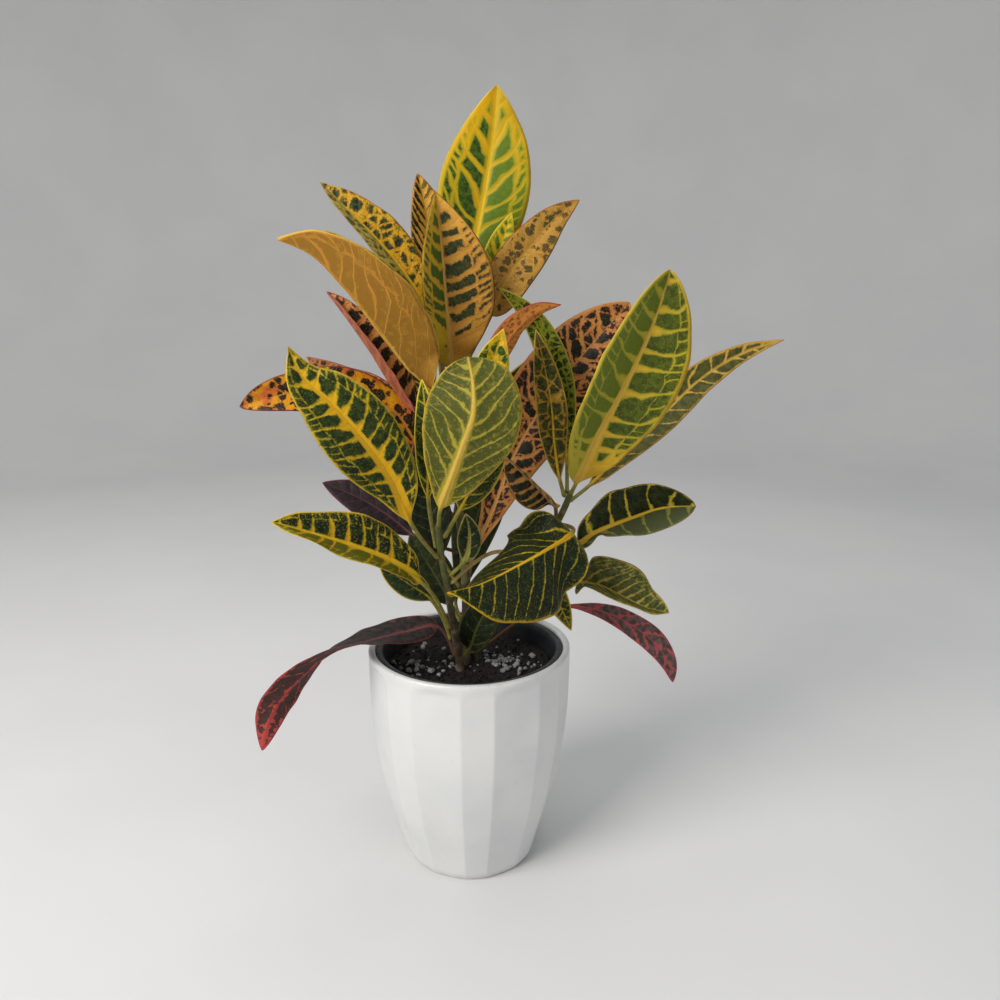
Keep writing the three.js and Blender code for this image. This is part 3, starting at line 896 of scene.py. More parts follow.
@dataclass(frozen=True)
class SoilFinish:
    """Dark damp peat with fibres and paler crumbs."""

    damp: str = "#0e0d0b"
    dry: str = "#201b17"
    fibre: str = "#3e362c"
    lump_size: float = 2.4
    fibre_size: float = 0.8
    fibre_stretch: tuple[float, float, float] = (0.25, 1.6, 1)
    crumb_size: float = 1.1
    sheen: float = 0.25

    def build(self, name: str, dryness: float) -> bpy.types.Material:
        """Makes the material.

        Args:
            name: The material's name.
            dryness: From 0 for damp soil to 1 for dry crumbs.

        Returns:
            The material.
        """
        shader = Shader(name)
        where = shader.place()
        lumps = shader.cloud(where, self.lump_size, 4, 0.6)
        body = shader.mix(lumps.rise(0.4, 0.68), self.damp, self.dry)
        body = shader.mix(dryness * 0.5, body, self.dry)
        fibres = shader.cloud(shader.place(self.fibre_stretch), self.fibre_size, 3).rise(0.62, 0.7)
        body = shader.mix(fibres * 0.5, body, self.fibre)
        crumbs = shader.cells(where, self.crumb_size, "F1").rise(0.1, 0.5)
        body = shader.mix((1 - crumbs) * 0.3, body, self.fibre)
        roughness = lumps * 0.3 + 0.65
        height = lumps * 0.5 + crumbs * -0.18
        constants = {"Specular IOR Level": self.sheen}
        return shader.dress(constants, base_color=body, roughness=roughness, height=height)


@dataclass(frozen=True)
class PerliteFinish:
    """Porous white grains, grey where the soil has stained them."""

    white: str = "#8e8d8a"
    grey: str = "#5a5855"
    pit: str = "#373532"
    stain_size: float = 3.0
    pit_size: float = 0.6
    grain_size: float = 0.5
    sheen: float = 0.25

    def build(self) -> bpy.types.Material:
        """Makes the material.

        Returns:
            The material.
        """
        shader = Shader("perlite")
        where = shader.place()
        stain = shader.cloud(where, self.stain_size, 3).rise(0.42, 0.7)
        body = shader.mix(stain, self.white, self.grey)
        pits = 1 - shader.cells(where, self.pit_size, "F1").rise(0.12, 0.32)
        body = shader.mix(pits * 0.7, body, self.pit)
        roughness = stain * 0.1 + 0.82
        height = shader.cloud(where, self.grain_size, 3) * 0.2 - pits * 0.15
        constants = {"Specular IOR Level": self.sheen}
        return shader.dress(constants, base_color=body, roughness=roughness, height=height)


@dataclass(frozen=True)
class BarkFinish:
    """The skin of a stem: grey-brown and corky low down, green and smooth above."""

    green: str = "#46501f"
    olive: str = "#5f5a28"
    brown: str = "#3c3024"
    cork: str = "#5c5040"
    scar: str = "#85744c"
    patch_size: float = 6.0
    pore_size: float = 1.3
    pore_stretch: float = 0.45
    crack_size: float = 0.9
    crack_stretch: float = 0.2
    sheen: float = 0.35

    def build(self, name: str) -> bpy.types.Material:
        """Makes the material.

        Args:
            name: The material's name.

        Returns:
            The material, which reads the numbers that a stem's mesh holds.
        """
        shader = Shader(name)
        reach, scar = (shader.attribute(layer) for layer in Stem.LAYERS)
        where = shader.place()
        patches = shader.cloud(where, self.patch_size, 3)
        young = (reach + (patches - 0.5) * 0.6).rise(0.12, 0.5)
        old_skin = shader.mix(patches.rise(0.4, 0.65), self.brown, self.cork)
        new_skin = shader.mix(patches.rise(0.35, 0.7), self.green, self.olive)
        body = shader.mix(young, old_skin, new_skin)
        stretched = shader.place((1, 1, self.pore_stretch))
        pores = 1 - shader.cells(stretched, self.pore_size, "F1").rise(0.1, 0.28)
        body = shader.mix(pores * 0.4, body, self.scar)
        body = shader.mix(scar * 0.7, body, self.scar)
        cracks = shader.cloud(shader.place((1, 1, self.crack_stretch)), self.crack_size, 3)
        roughness = 0.25 * (1 - young) + cracks * 0.12 + 0.42
        height = cracks * (1 - young * 0.7) * 0.4 + pores * 0.12
        constants = {"Specular IOR Level": self.sheen}
        return shader.dress(constants, base_color=body, roughness=roughness, height=height)


@dataclass(frozen=True)
class StudioFinish:
    """The matt pale surface that the plant stands on."""

    pale: str = "#dddddc"
    shade: str = "#d9d9d9"
    cloud_size: float = 240.0
    grain_size: float = 6.0
    sheen: float = 0.2

    def build(self) -> bpy.types.Material:
        """Makes the material.

        Returns:
            The material.
        """
        shader = Shader("studio_floor")
        where = shader.place()
        clouds = shader.cloud(where, self.cloud_size, 3)
        body = shader.mix(clouds.rise(0.3, 0.7), self.pale, self.shade)
        roughness = clouds * 0.1 + 0.75
        height = shader.cloud(where, self.grain_size, 2) * 0.02
        constants = {"Specular IOR Level": self.sheen}
        return shader.dress(constants, base_color=body, roughness=roughness, height=height)


FRESH = LeafFinish(
    rib_width=2.2, margin=1.6, vein=1.0, spacing=11, loop=0.45, ragged=1.8, uneven=1.4, halo_width=2.2,
    soft=0.35, flare=0.5,
)
BOLD = LeafFinish(
    ground="#c09216", blush="#a8921c", patch="#2b3814", deep="#1a230f", halo="#66701a", line="#cdaf48",
    under="#6e7228", under_patch="#3c4818", under_rib="#a3964a", rib_width=1.7, margin=0.9, vein=0.5,
    spacing=8, flare=0.45, soft=0.1, halo_width=1.2,
)
GILT = LeafFinish(
    ground="#b98a2a", blush="#b88c30", patch="#434a1c", deep="#2c3014", halo="#8a6018", rib="#c9a03a",
    line="#8a4c24", under="#b07a26", under_patch="#8f601c", under_rib="#c99e44", stalk="#8f7a30",
)
FLAME = LeafFinish(
    ground="#b8743c", blush="#a8543a", patch="#24261a", deep="#141511", halo="#744024", rib="#bd8242",
    line="#9c4634", under="#9c563a", under_patch="#743c28", under_rib="#b0703e", stalk="#745430",
)
DUSK = LeafFinish(
    ground="#7a3034", blush="#96403a", patch="#332728", deep="#211b1d", halo="#4c282a", rib="#8c4446",
    line="#7a3036", under="#4c3f3b", under_patch="#382f30", under_rib="#744a46", stalk="#5c3c34",
    rib_width=0.7, margin=0.5, vein=0.3, fleck=0.15,
)
# Its paler right half is painted light: the half that the light falls on is painted paler, with lighter
# patches.
CROWN_TALL = replace(
    FRESH, ground="#cc9c10", blush="#c8a018", patch="#3f5a1a", deep="#223a10", halo="#7f8a1a",
    rib_width=3.0, margin=2.2, vein=1.1, spacing=15, slope=0.8, tip_fade=4.0, pale_half=1,
    pale_share=0.6, pale_ground="#bd9c22", pale_patch="#66801f", loop=0.55, fleck=0.45, halo_width=3.0,
    soft=0.5, flare=1.0, ragged=1.3, uneven=1.0,
)
CROWN_NARROW = replace(
    FLAME, ground="#e6b044", blush="#c08a38", patch="#26271a", halo="#6c5626", rib="#d8a640", spacing=8,
    rib_width=2.2, vein=2.4, margin=1.0, slope=1.2, line="#a86a48", uneven=5.0, pale_half=1,
    pale_fade=0.6, pale_ground="#cf9c38", pale_patch="#3c3a20",
)
CROWN_FOLDED = replace(
    GILT, ground="#cf983e", blush="#b47c32", patch="#3d4826", deep="#2a3620", halo="#8c5c2c",
    rib="#cfaa5c", rib_width=1.7, spacing=9.5, vein=1.15, margin=1.6, slope=0.15, taper=0.1,
    pale_half=-1, pale_ground="#b5991c", pale_patch="#3c5c1c", line="#7c4a2c", ragged=2.6, uneven=3.6,
    speck=0.3, tip_fade=1.5, loop=0.8, fleck=0.6, foot_fade=4.5, halo_width=1.2,
)
CROWN_GOLD = replace(
    GILT, ground="#b58838", blush="#b08444", marking=Marking.SPOTS, cell=4.6, filled=0.62,
    patch="#464822", deep="#5c4526", halo="#93682a", rib_width=0.9, margin=0.8, fleck=0.3, speck=0.55,
    ragged=3.8, uneven=3.8,
)
CROWN_AMBER = replace(
    GILT, ground="#cfa51c", blush="#c9a01e", patch="#7c7e26", deep="#5c6420", under="#b47c2c",
    under_patch="#7c5c1e", under_rib="#d0a244", halo="#c09a20", line="#d8b050", rib_width=1.6,
    spacing=13, slope=1.1, fleck=0.3, seen_through=0.65, loop=0.6, foot_fade=-3, halo_width=2.0,
    uneven=3.4,
)
CROWN_SPOTTED = replace(
    FRESH, ground="#cc9a1c", blush="#cb9c20", marking=Marking.NET, cell=6.2, patch="#3a4a1c",
    deep="#1a2410", halo="#775e1a", rib_width=1.6, margin=0.6, pale_half=-1, pale_ground="#a8a050",
    pale_patch="#465432", line="#a87424", speck=0.5, ragged=2.2, uneven=2.6, spacing=8.5, vein=0.95,
    soft=0.1, halo_width=0.9,
)
CROWN_INNER = replace(
    FRESH, ground="#dcb424", blush="#d4b62a", patch="#5c7c20", deep="#44681c", spacing=7, rib_width=1.2,
    vein=1.8, loop=0.3, line="#c9b044", margin=1.4,
)
CROWN_PINK = replace(
    GILT, ground="#b0703c", blush="#a8503c", under="#dc8c42", under_patch="#6c3c1c", under_rib="#b06c3c",
    line="#a0403c", marking=Marking.SPOTS, cell=2.6, filled=0.5, rib_width=0.8, speck=0.7,
)
CROWN_SMALL = replace(
    FRESH, ground="#dca214", blush="#cfac1c", patch="#33501a", deep="#1e3612", marking=Marking.SPOTS,
    cell=4, filled=0.75, line="#d4bc50", rib_width=1.2, margin=0.6, speck=0.5,
)
CROWN_RED = replace(
    FLAME, ground="#d8904c", blush="#b06a40", patch="#262a1e", deep="#161814", under="#b06a48",
    under_patch="#743632", under_rib="#a05c50", line="#8c3c42", rib="#b07048", spacing=11, vein=1.7,
    slope=0.1, taper=0.1, speck=0.6, uneven=5.0, seen_through=0.5, loop=0.6,
)
LEFT_BOLD = replace(
    BOLD, ground="#cf9e16", blush="#b0921c", rib_width=3.9, spacing=9.5, vein=0.9, margin=1.2,
    slope=0.25, loop=0.3, patch="#2c3c15", deep="#1b260f", halo="#6c761c", fleck=0.3, ragged=2.2,
    uneven=2.2, flare=1.9, rib="#cf9e1c", soft=0.25, halo_width=1.5,
)
LEFT_ORANGE = replace(
    FLAME, ground="#c98a16", blush="#b85a2a", halo="#8a4c18", marking=Marking.SPOTS, cell=5.2,
    filled=0.68, under="#a86450", line="#7a3038", blush_share=0.9, rib_width=0.8, margin=0.4, speck=0.5,
    uneven=4.2,
)
LEFT_TAN = replace(
    FLAME, ground="#b07c44", blush="#a8663a", marking=Marking.SPOTS, cell=3.6, filled=0.5, speck=0.6,
)
LEFT_PURPLE = replace(
    DUSK, ground="#483032", patch="#302628", deep="#221d20", halo="#38292c", rib="#6e3e42", fleck=0.05,
)
LEFT_LONG = replace(
    BOLD, ground="#c29418", blush="#b0901c", patch="#223014", deep="#151d0d", rib_width=2.8, spacing=9.5,
    vein=0.95, slope=0.1, fleck=0.6, pale_half=-1, pale_fade=0.3, pale_share=0.9, pale_ground="#c0941e",
    pale_patch="#3c4a18", loop=0.15, uneven=2.2, flare=0.7,
)
LEFT_LOW = replace(
    BOLD, ground="#84802a", patch="#384830", deep="#263424", rib_width=0.6, vein=0.25, halo="#485420",
)
LEFT_DROOPING = replace(
    DUSK, ground="#5e3c3c", blush="#5e3c3c", patch="#3a3432", deep="#2a2624", halo="#4a3434",
    under="#b0443e", under_patch="#30302c", under_rib="#7c3c3a", spacing=16, rib="#7c4444",
    line="#8c3c44", vein=-0.7, uneven=9, ragged=6, seen_through=0.95, slope=1.4, margin=0.4,
    rib_width=1.0, speck=0.3, tip_fade=1.7,
)
# A dull dark finish for a leaf deep behind the front ones: partly an old leaf's own colour and partly
# painted shade.
SHADED_LEFT_INNER = replace(
    BOLD, patch="#1a2414", deep="#11170e", ground="#3c4020", halo="#283018", rib="#484c26",
    rib_width=0.6, vein=0.25, line="#484c26",
)
FRONT_ROUND = replace(
    FRESH, under="#948a2e", under_patch="#38431a", under_rib="#c8a648", halo="#7c7c34", rib_width=4.2,
    spacing=9.5, vein=0.65, margin=1.2, line="#c9a23c", slope=0.8, fleck=0.3, loop=0.0, seen_through=0.9,
    uneven=4.0, ragged=3.0, flare=0.9, taper=1.1, soft=0.6,
)
FRONT_UNDER = replace(BOLD, rib_width=0.8, vein=0.3, margin=1.0, line="#bfa23c", flare=0.2)
FRONT_SMALL = replace(
    BOLD, patch="#222e1a", deep="#182113", ground="#8c8440", rib="#968e48", line="#968e4c", vein=0.1,
    fleck=0.25, halo="#3c4424",
)
FRONT_NARROW = replace(
    FRESH, patch="#2c4018", deep="#1c2c12", rib_width=0.6, vein=0.3, margin=0.5, loop=0.0,
)
FRONT_CURLED = replace(
    BOLD, stalk="#a8905c", spacing=6, vein=0.4, rib_width=1.0, margin=1.0, fleck=0.7, patch="#26301a",
    ground="#a8861e",
)
RIGHT_ORANGE = replace(
    FLAME, ground="#bc8040", blush="#ac683c", patch="#22281f", deep="#131612", halo="#8a4a30",
    rib="#cf9c58", line="#c08a54", spacing=12.5, vein=1.35, slope=0.6, rib_width=1.4, margin=3.0,
    ragged=2.8, uneven=4.5, fleck=0.3, speck=0.7, taper=0.2, halo_width=1.0, cell=10.5, cross=0.6,
)
RIGHT_OLIVE = replace(
    BOLD, marking=Marking.NET, cell=8.5, vein=0.55, ground="#a88028", patch="#3c421a", deep="#242a14",
    halo="#604c1c", rib_width=0.8, line="#a88c3c", ragged=2.0,
)
RIGHT_GREEN = replace(
    BOLD, ground="#7c7c22", patch="#1f3014", deep="#141f10", marking=Marking.NET, cell=4.5, vein=0.45,
    rib_width=0.6, line="#ab9838", fleck=0.7,
)
RIGHT_TALL = replace(
    FRESH, ground="#c8a02c", blush="#bd962a", patch="#4e5a18", deep="#394414", halo="#8c8c28",
    rib="#cfa848", rib_width=3.4, spacing=12.5, slope=0.1, margin=2.8, line="#cca436", fleck=0.3,
    pale_half=-1, pale_ground="#a49a34", pale_patch="#606c20", loop=0.25, ragged=1.2, uneven=0.8,
    flare=1.5, foot_fade=4.0,
)
RIGHT_LONG = replace(
    BOLD, ground="#bc963e", patch="#4c4e22", deep="#3a3c1c", halo="#6a5c2c", line="#a8783a",
    tip_fade=1.2, fleck=0.35, rib_width=0.9, spacing=13, slope=0.7, vein=0.45, flare=0.3, taper=0.5,
)
RIGHT_TAN = replace(
    FLAME, ground="#c8944c", blush="#a2643c", patch="#303626", deep="#1a1f16", halo="#745426",
    rib="#b08846", line="#a8704e", spacing=6.5, vein=1.2, slope=0.1, rib_width=1.0, uneven=3.4,
    under="#ab8040", under_patch="#30301e", under_rib="#b08846", seen_through=0.9,
)
RIGHT_BIG = replace(
    BOLD, ground="#c49c1e", blush="#8c8c22", patch="#1d2912", deep="#131c0d", halo="#485c1a",
    rib="#cc9a1a", rib_width=1.8, spacing=8.5, vein=0.36, slope=0.3, margin=1.4, line="#c8a020",
    fleck=0.4, taper=0.9, ragged=2.6, uneven=1.4, quilt=0.3, flare=0.25, line_width=0.9,
)
# Its other half is painted shade: the shaded lower half is painted a darker olive grey.
RIGHT_LANCE = replace(
    BOLD, ground="#c8a438", patch="#262e14", deep="#151b0c", rib="#cca430", rib_width=2.4, vein=0.9,
    spacing=13, slope=0.0, line="#84643a", fleck=0.2, pale_half=1, pale_share=0.9, pale_ground="#706a40",
    pale_patch="#42482e", uneven=3.0, ragged=2.2, flare=0.4,
)
RIGHT_LOW = replace(
    BOLD, ground="#b8a04c", patch="#565c2e", deep="#3c4422", halo="#74702e", rib="#b5983e", spacing=6.5,
    slope=0.6, rib_width=1.0, line="#a8803e", fleck=0.45, loop=0.1, margin=1.6, uneven=2.8,
)
RIGHT_DROOPING = replace(
    DUSK, ground="#a54e50", blush="#a8504c", patch="#665450", deep="#463c3a", spacing=12, vein=1.6,
    slope=1.2, line="#a84450", rib="#b05856", ragged=5, uneven=8, margin=1.0, halo="#6e4040", speck=0.3,
)
# Dull dark finishes for the leaves deep inside the plant: partly the old leaves' own colour and partly
# painted shade.
SHADED_INNER_TALL = replace(
    BOLD, ground="#5c5c30", blush="#5c5c30", patch="#3a4228", deep="#2a3220", halo="#30381e",
    rib="#64663a", rib_width=0.9, vein=0.15, line="#505430", fleck=0.3,
)
SHADED_INNER_LOW = replace(SHADED_INNER_TALL, patch="#28301c", deep="#1c2316", rib="#5c6034")
SHADED_INNER_LEFT = replace(SHADED_INNER_TALL, patch="#343e26", deep="#262e1c")
BACK_GREEN = replace(BOLD, spacing=9, rib_width=1.5, vein=0.6)
BACK_GOLD = replace(GILT, spacing=9, rib_width=1.8, vein=1.0, patch="#4a5c2c")
BACK_ORANGE = replace(FLAME, spacing=9, rib_width=1.2, vein=1.0, blush_share=0.6)


@dataclass
class Stem:
    """One upright stem: round, a little swollen at its leaf scars, with a bud on top."""

    LAYERS = ("reach", "scar")

    shoot: Shoot
    foot: tuple[float, float]
    thick: float
    thin: float
    through: Sequence[tuple[float, float, float]]
    soil_top: float = 130.0
    collar: float = 4.0
    root_depth: float = 32.0
    scar_spacing: float = 11.0
    scar_turn: float = 2.4
    scar_reach: tuple[float, float] = (1.5, 1.4)
    scar_fade: tuple[float, float] = (1.3, 0.9)
    swelling: float = 0.1
    ripple: float = 0.05
    ripple_length: float = 7.0
    ripple_crowding: float = 1.4
    foot_swelling: float = 0.5
    foot_length: float = 9.0
    green_from: float = 180.0
    bud: float = 5.0
    around: int = 28
    step: float = 1.2

    def __post_init__(self) -> None:
        """Lays the path from just over the soil to the top."""
        start = Vector((*self.foot, self.soil_top + self.collar))
        self.path = SmoothPath([start, *map(Vector, self.through)])

    def radius(self, along: float) -> float:
        """Returns the plain radius at a place on the path."""
        return lerp(self.thick, self.thin, clamp(along / self.path.length))

    def at_height(self, height: float) -> float:
        """Finds where the path reaches a height.

        Args:
            height: The height.

        Returns:
            The place on the path.
        """
        low, high = 0.0, self.path.length
        while high - low > 0.01:
            middle = (low + high) / 2
            if self.path.place(middle).z < height:
                low = middle
            else:
                high = middle
        return low

    def _scar(self, along: float, angle: float) -> float:
        """Works out how much of a leaf scar a point lies on.

        Args:
            along: The place on the path.
            angle: The angle round the stem.

        Returns:
            0 to 1.
        """
        turn = along / self.scar_spacing
        centre = math.floor(turn) * self.scar_turn
        off = abs((angle - centre + math.pi) % (2 * math.pi) - math.pi)
        ring = abs(turn % 1 - 0.5) * self.scar_spacing
        offsets = zip(self.scar_reach, self.scar_fade, (off, ring))
        return math.prod(smooth(reach - fade * away) for reach, fade, away in offsets)

    def _point(self, ring: int, column: int) -> Spot:
        """Places a corner of the stem's skin.

        Args:
            ring: The ring's number.
            column: The corner's number round the ring.

        Returns:
            The corner, its reach up the stem and its scar.
        """
        angle = 2 * math.pi * column / self.around
        top = self.path.length
        along = min(lerp(-self.collar - self.root_depth, top, ring / self.rings), top)
        if along > 0:
            centre, way = self.path.place(along), self.path.direction(along)
        else:
            centre, way = self.path.points[0] + UP * along, UP
        right = Vector((0, 1, 0)).cross(way).normalized()
        back = way.cross(right)
        scar = self._scar(along, angle)
        around = Vector((math.cos(angle), math.sin(angle), along / self.ripple_length))
        ripple = noise.noise(around * self.ripple_crowding)
        radius = self.radius(along) * (1 + self.swelling * scar + self.ripple * ripple)
        radius += self.foot_swelling * smooth(1 - (along + self.collar) / self.foot_length)
        left = top - along
        radius *= math.sqrt(clamp(left / self.bud)) if left < self.bud else 1.0
        if ring == 0:
            radius = 0.0
        place = centre + right * radius * math.cos(angle) + back * radius * math.sin(angle)
        return place, (clamp(along / self.green_from), scar)

    def build(self) -> None:
        """Makes the stem's piece."""
        self.rings = round((self.path.length + self.root_depth) / self.step)
        shape = sleeve(self.rings, self.around, self._point, self.LAYERS)
        name = self.shoot.value
        material = BarkFinish().build(f"{name}_bark")
        finish_piece(f"{name}_bark", shape, material, Slot.STEM, [name])


@dataclass(frozen=True)
class Ring:
    """What all points of one ring of a leaf share."""

    centre: Vector
    up: Vector
    side: Vector
    along: float
    reach: float
    rod: float
    half: float
    opened: float
    lift: float


@dataclass
class Leaf:
    """One leaf: a round stalk that opens into a thin, waved blade with a midrib and side veins."""

    LAYERS = ("along", "across", "half", "reach", "vein")
    UPPER = "upper"

    name: str
    shoot: Shoot
    slot: Slot
    finish: LeafFinish
    at: float
    looks: tuple[float, float, float]
    through: Sequence[tuple[float, float, float]]
    wide: float
    ends: tuple[float, float]
    fold: float = 0.0
    arch: float = 0.0
    turn: float = 0.0
    wave: float = 0.0
    waves: float = 2.0
    lag: float = 1.9
    thickness: float = 0.8
    thin_edge: float = 0.6
    edge_rounding: float = 0.7
    stalk_radius: float = 1.2
    tip_radius: float = 0.4
    foot_flare: float = 0.3
    foot_length: float = 6.0
    opening: float = 0.16
    upper_rib: float = 0.35
    gap: float = 0.3
    sunk: float = 1.4
    vein_bend: float = 0.3
    least_half: float = 6.0
    vein_wander: float = 0.5
    wander_length: float = 16.0
    vein_crook: float = 0.13
    crook_length: float = 7.0
    furrow: float = 1.6
    furrow_room: float = 3.0
    flutter: float = 1.6
    flutter_share: float = 0.09
    flutter_length: float = 13.0
    around: int = 56
    column_crowding: float = 0.3
    step: float = 1.35
    stalk_step: float = 2.0
    end_crowding: float = 0.25
    least_stalk_rings: int = 8
    least_blade_rings: int = 36
    finish_seed: float = 7.0

    def lay(self, stem: Stem, seed: float) -> None:
        """Lays the leaf's path from its stem and cuts it into rings.

        Args:
            stem: The stem that carries it.
            seed: A number that tells this leaf's noise from the others'.
        """
        self.seed = seed
        start_on = stem.at_height(self.at)
        centre = stem.path.place(start_on)
        way = stem.path.direction(start_on)
        to_blade = (Vector(self.through[0]) - centre).normalized()
        lean = to_blade.dot(way)
        out = (to_blade - way * lean).normalized()
        start = centre + out * (stem.radius(start_on) + self.stalk_radius * abs(lean) + self.gap)
        self.path = SmoothPath([start, *map(Vector, self.through)])
        self.stalk = self.path.knots[1]
        self.rings = [self._ring(along) for along in self._stops()]

    def _stops(self) -> list[float]:
        """Spreads the rings, closer together at the blade's ends.

        Returns:
            Their places on the path.
        """
        blade = self.path.length - self.stalk
        stalk_rings = max(self.least_stalk_rings, round((self.stalk + self.sunk) / self.stalk_step))
        blade_rings = max(self.least_blade_rings, round(blade / self.step))
        stops = [lerp(-self.sunk, self.stalk, ring / stalk_rings) for ring in range(stalk_rings)]
        for ring in range(blade_rings + 1):
            even = ring / blade_rings
            wave = 0.5 - 0.5 * math.cos(math.pi * even)
            eased = (1 - self.end_crowding) * even + self.end_crowding * wave
            stops.append(self.stalk + blade * eased)
        return stops

    def _ring(self, along: float) -> Ring:
        """Works out what all points of one ring share.

        Args:
            along: The place on the path.

        Returns:
            The ring.
        """
        way = self.path.direction(along)
        reach = clamp((along - self.stalk) / (self.path.length - self.stalk))
        looks = Vector(self.looks)
        up = (looks - way * looks.dot(way)).normalized()
        up.rotate(Quaternion(way, math.radians(self.turn) * (reach - 0.5)))
        low, high = self.ends
        widest = low / (low + high)
        outline = (reach / widest) ** low * ((1 - reach) / (1 - widest)) ** high
        rod = lerp(self.stalk_radius, self.tip_radius, reach)
        rod *= 1 + self.foot_flare * smooth(1 - (along + self.sunk) / self.foot_length)
        opened = smooth(reach / self.opening)
        return Ring(
            centre=self.path.place(along),
            up=up,
            side=way.cross(up),
            along=along - self.stalk,
            reach=reach,
            rod=rod,
            half=math.hypot(self.wide * outline, rod),
            opened=opened,
            lift=math.radians(self.fold) * opened,
        )

    def _share(self, column: int, opened: float) -> tuple[float, int]:
        """Spreads the corners of a ring over both faces.

        Args:
            column: The corner's number round the ring.
            opened: How far the stalk has opened into the blade, from 0 to 1.

        Returns:
            How far across the corner lies, from -1 to 1, and its face, 1 above or -1 below.
        """
        turn = 2 * column / self.around
        even, face = (2 * turn - 1, 1) if turn <= 1 else (3 - 2 * turn, -1)
        close = even * abs(even) ** self.column_crowding
        return lerp(math.sin(even * math.pi / 2), close, opened), face

    def _vein(self, along: float, across: float, half: float) -> float:
        """Counts the side veins up to a point.

        Args:
            along: How far it lies along the blade.
            across: How far it lies from the midrib.
            half: Half the blade's width there.

        Returns:
            The count, which is a whole number on each vein.
        """
        off = abs(across)
        bend = self.finish.slope * off + self.vein_bend * off * off / max(half, self.least_half)
        side = 0.5 if across > 0 else 0.0
        far = Vector((along / self.wander_length, side * 9, self.seed))
        near = Vector((along / self.crook_length, across / self.crook_length, self.seed + 5))
        wander = noise.noise(far) * self.vein_wander
        crook = noise.noise(near) * self.vein_crook
        return (along - bend) / self.finish.spacing + side + wander + crook

    def _rise(self, ring: Ring, share: float, vein: float) -> float:
        """Works out how high the middle of the sheet lies over the path.

        Args:
            ring: The point's ring.
            share: How far across the point lies, from -1 to 1.
            vein: Its count of side veins.

        Returns:
            The height, with the fold, the waves and the furrows of the side veins.
        """
        off = abs(share * ring.half)
        turns = 2 * math.pi * self.waves * ring.reach
        ripple = self.wave * math.sin(turns + (self.lag if share < 0 else 0)) * ring.opened
        rise = off * math.sin(ring.lift)
        rise += share * share * (ripple - self.arch * ring.half * ring.opened)
        rise += share**4 * self._flutter(ring.along, share) * ring.opened
        from_vein = (0.5 - abs(vein % 1 - 0.5)) * self.finish.spacing
        from_rib = smooth((off - ring.rod) / self.furrow_room)
        from_edge = smooth((ring.half - off) / self.furrow_room)
        pillow = 1 - math.exp(-((from_vein / self.furrow) ** 2))
        return rise + self.finish.quilt * pillow * (from_rib * from_edge * ring.opened)

    def _thick(self, ring: Ring, share: float, face: int) -> float:
        """Works out how far the skin lies from the middle of the sheet.

        Args:
            ring: The point's ring.
            share: How far across the point lies, from -1 to 1.
            face: 1 for the upper side, -1 for the underside.

        Returns:
            Half the sheet's thickness, or more on the midrib.
        """
        off = abs(share * ring.half)
        rib = math.sqrt(max(0.0, ring.rod * ring.rod - off * off))
        rib *= lerp(1, self.upper_rib, ring.opened) if face > 0 else 1
        edge = math.sqrt(clamp((ring.half - off) / self.edge_rounding))
        sheet = (self.thickness / 2) * lerp(1, self.thin_edge, share * share) * edge
        return max(sheet, rib) / math.cos(ring.lift)

    def _point(self, number: int, column: int) -> Spot:
        """Places a corner of the leaf's skin.

        Args:
            number: The ring's number.
            column: The corner's number round the ring.

        Returns:
            The corner and the numbers that the finish reads.
        """
        ring = self.rings[number]
        share, face = self._share(column, ring.opened)
        across = share * ring.half
        vein = self._vein(ring.along, across, ring.half)
        place = ring.centre.copy()
        if 0 < number < len(self.rings) - 1:
            rise = self._rise(ring, share, vein) + face * self._thick(ring, share, face)
            place += ring.side * across * math.cos(ring.lift)
            place += ring.up * rise
        else:
            across = 0.0
        return place, (ring.along, across, ring.half, ring.reach, vein)

    def _flutter(self, along: float, share: float) -> float:
        """Gives the small uneven wave of the edge.

        Args:
            along: The place.
            share: The share of half the width, below 0 on one side.

        Returns:
            How far the wave lifts the edge.
        """
        side = 3 if share > 0 else -3
        near = noise.noise(Vector((along / self.flutter_length, side, self.seed + 2)))
        return near * min(self.flutter, self.wide * self.flutter_share)

    def build(self) -> None:
        """Makes the leaf's piece."""
        shape = sleeve(len(self.rings) - 1, self.around, self._point, self.LAYERS, self.UPPER)
        name = f"leaf_{self.name}"
        material = self.finish.build(f"{name}_finish", self.seed * self.finish_seed)
        finish_piece(f"{name}_blade", shape, material, self.slot, [name])


# One ring of the cover pot: its radius, its height and whether facets show on it.
PotRing = tuple[float, float, bool]


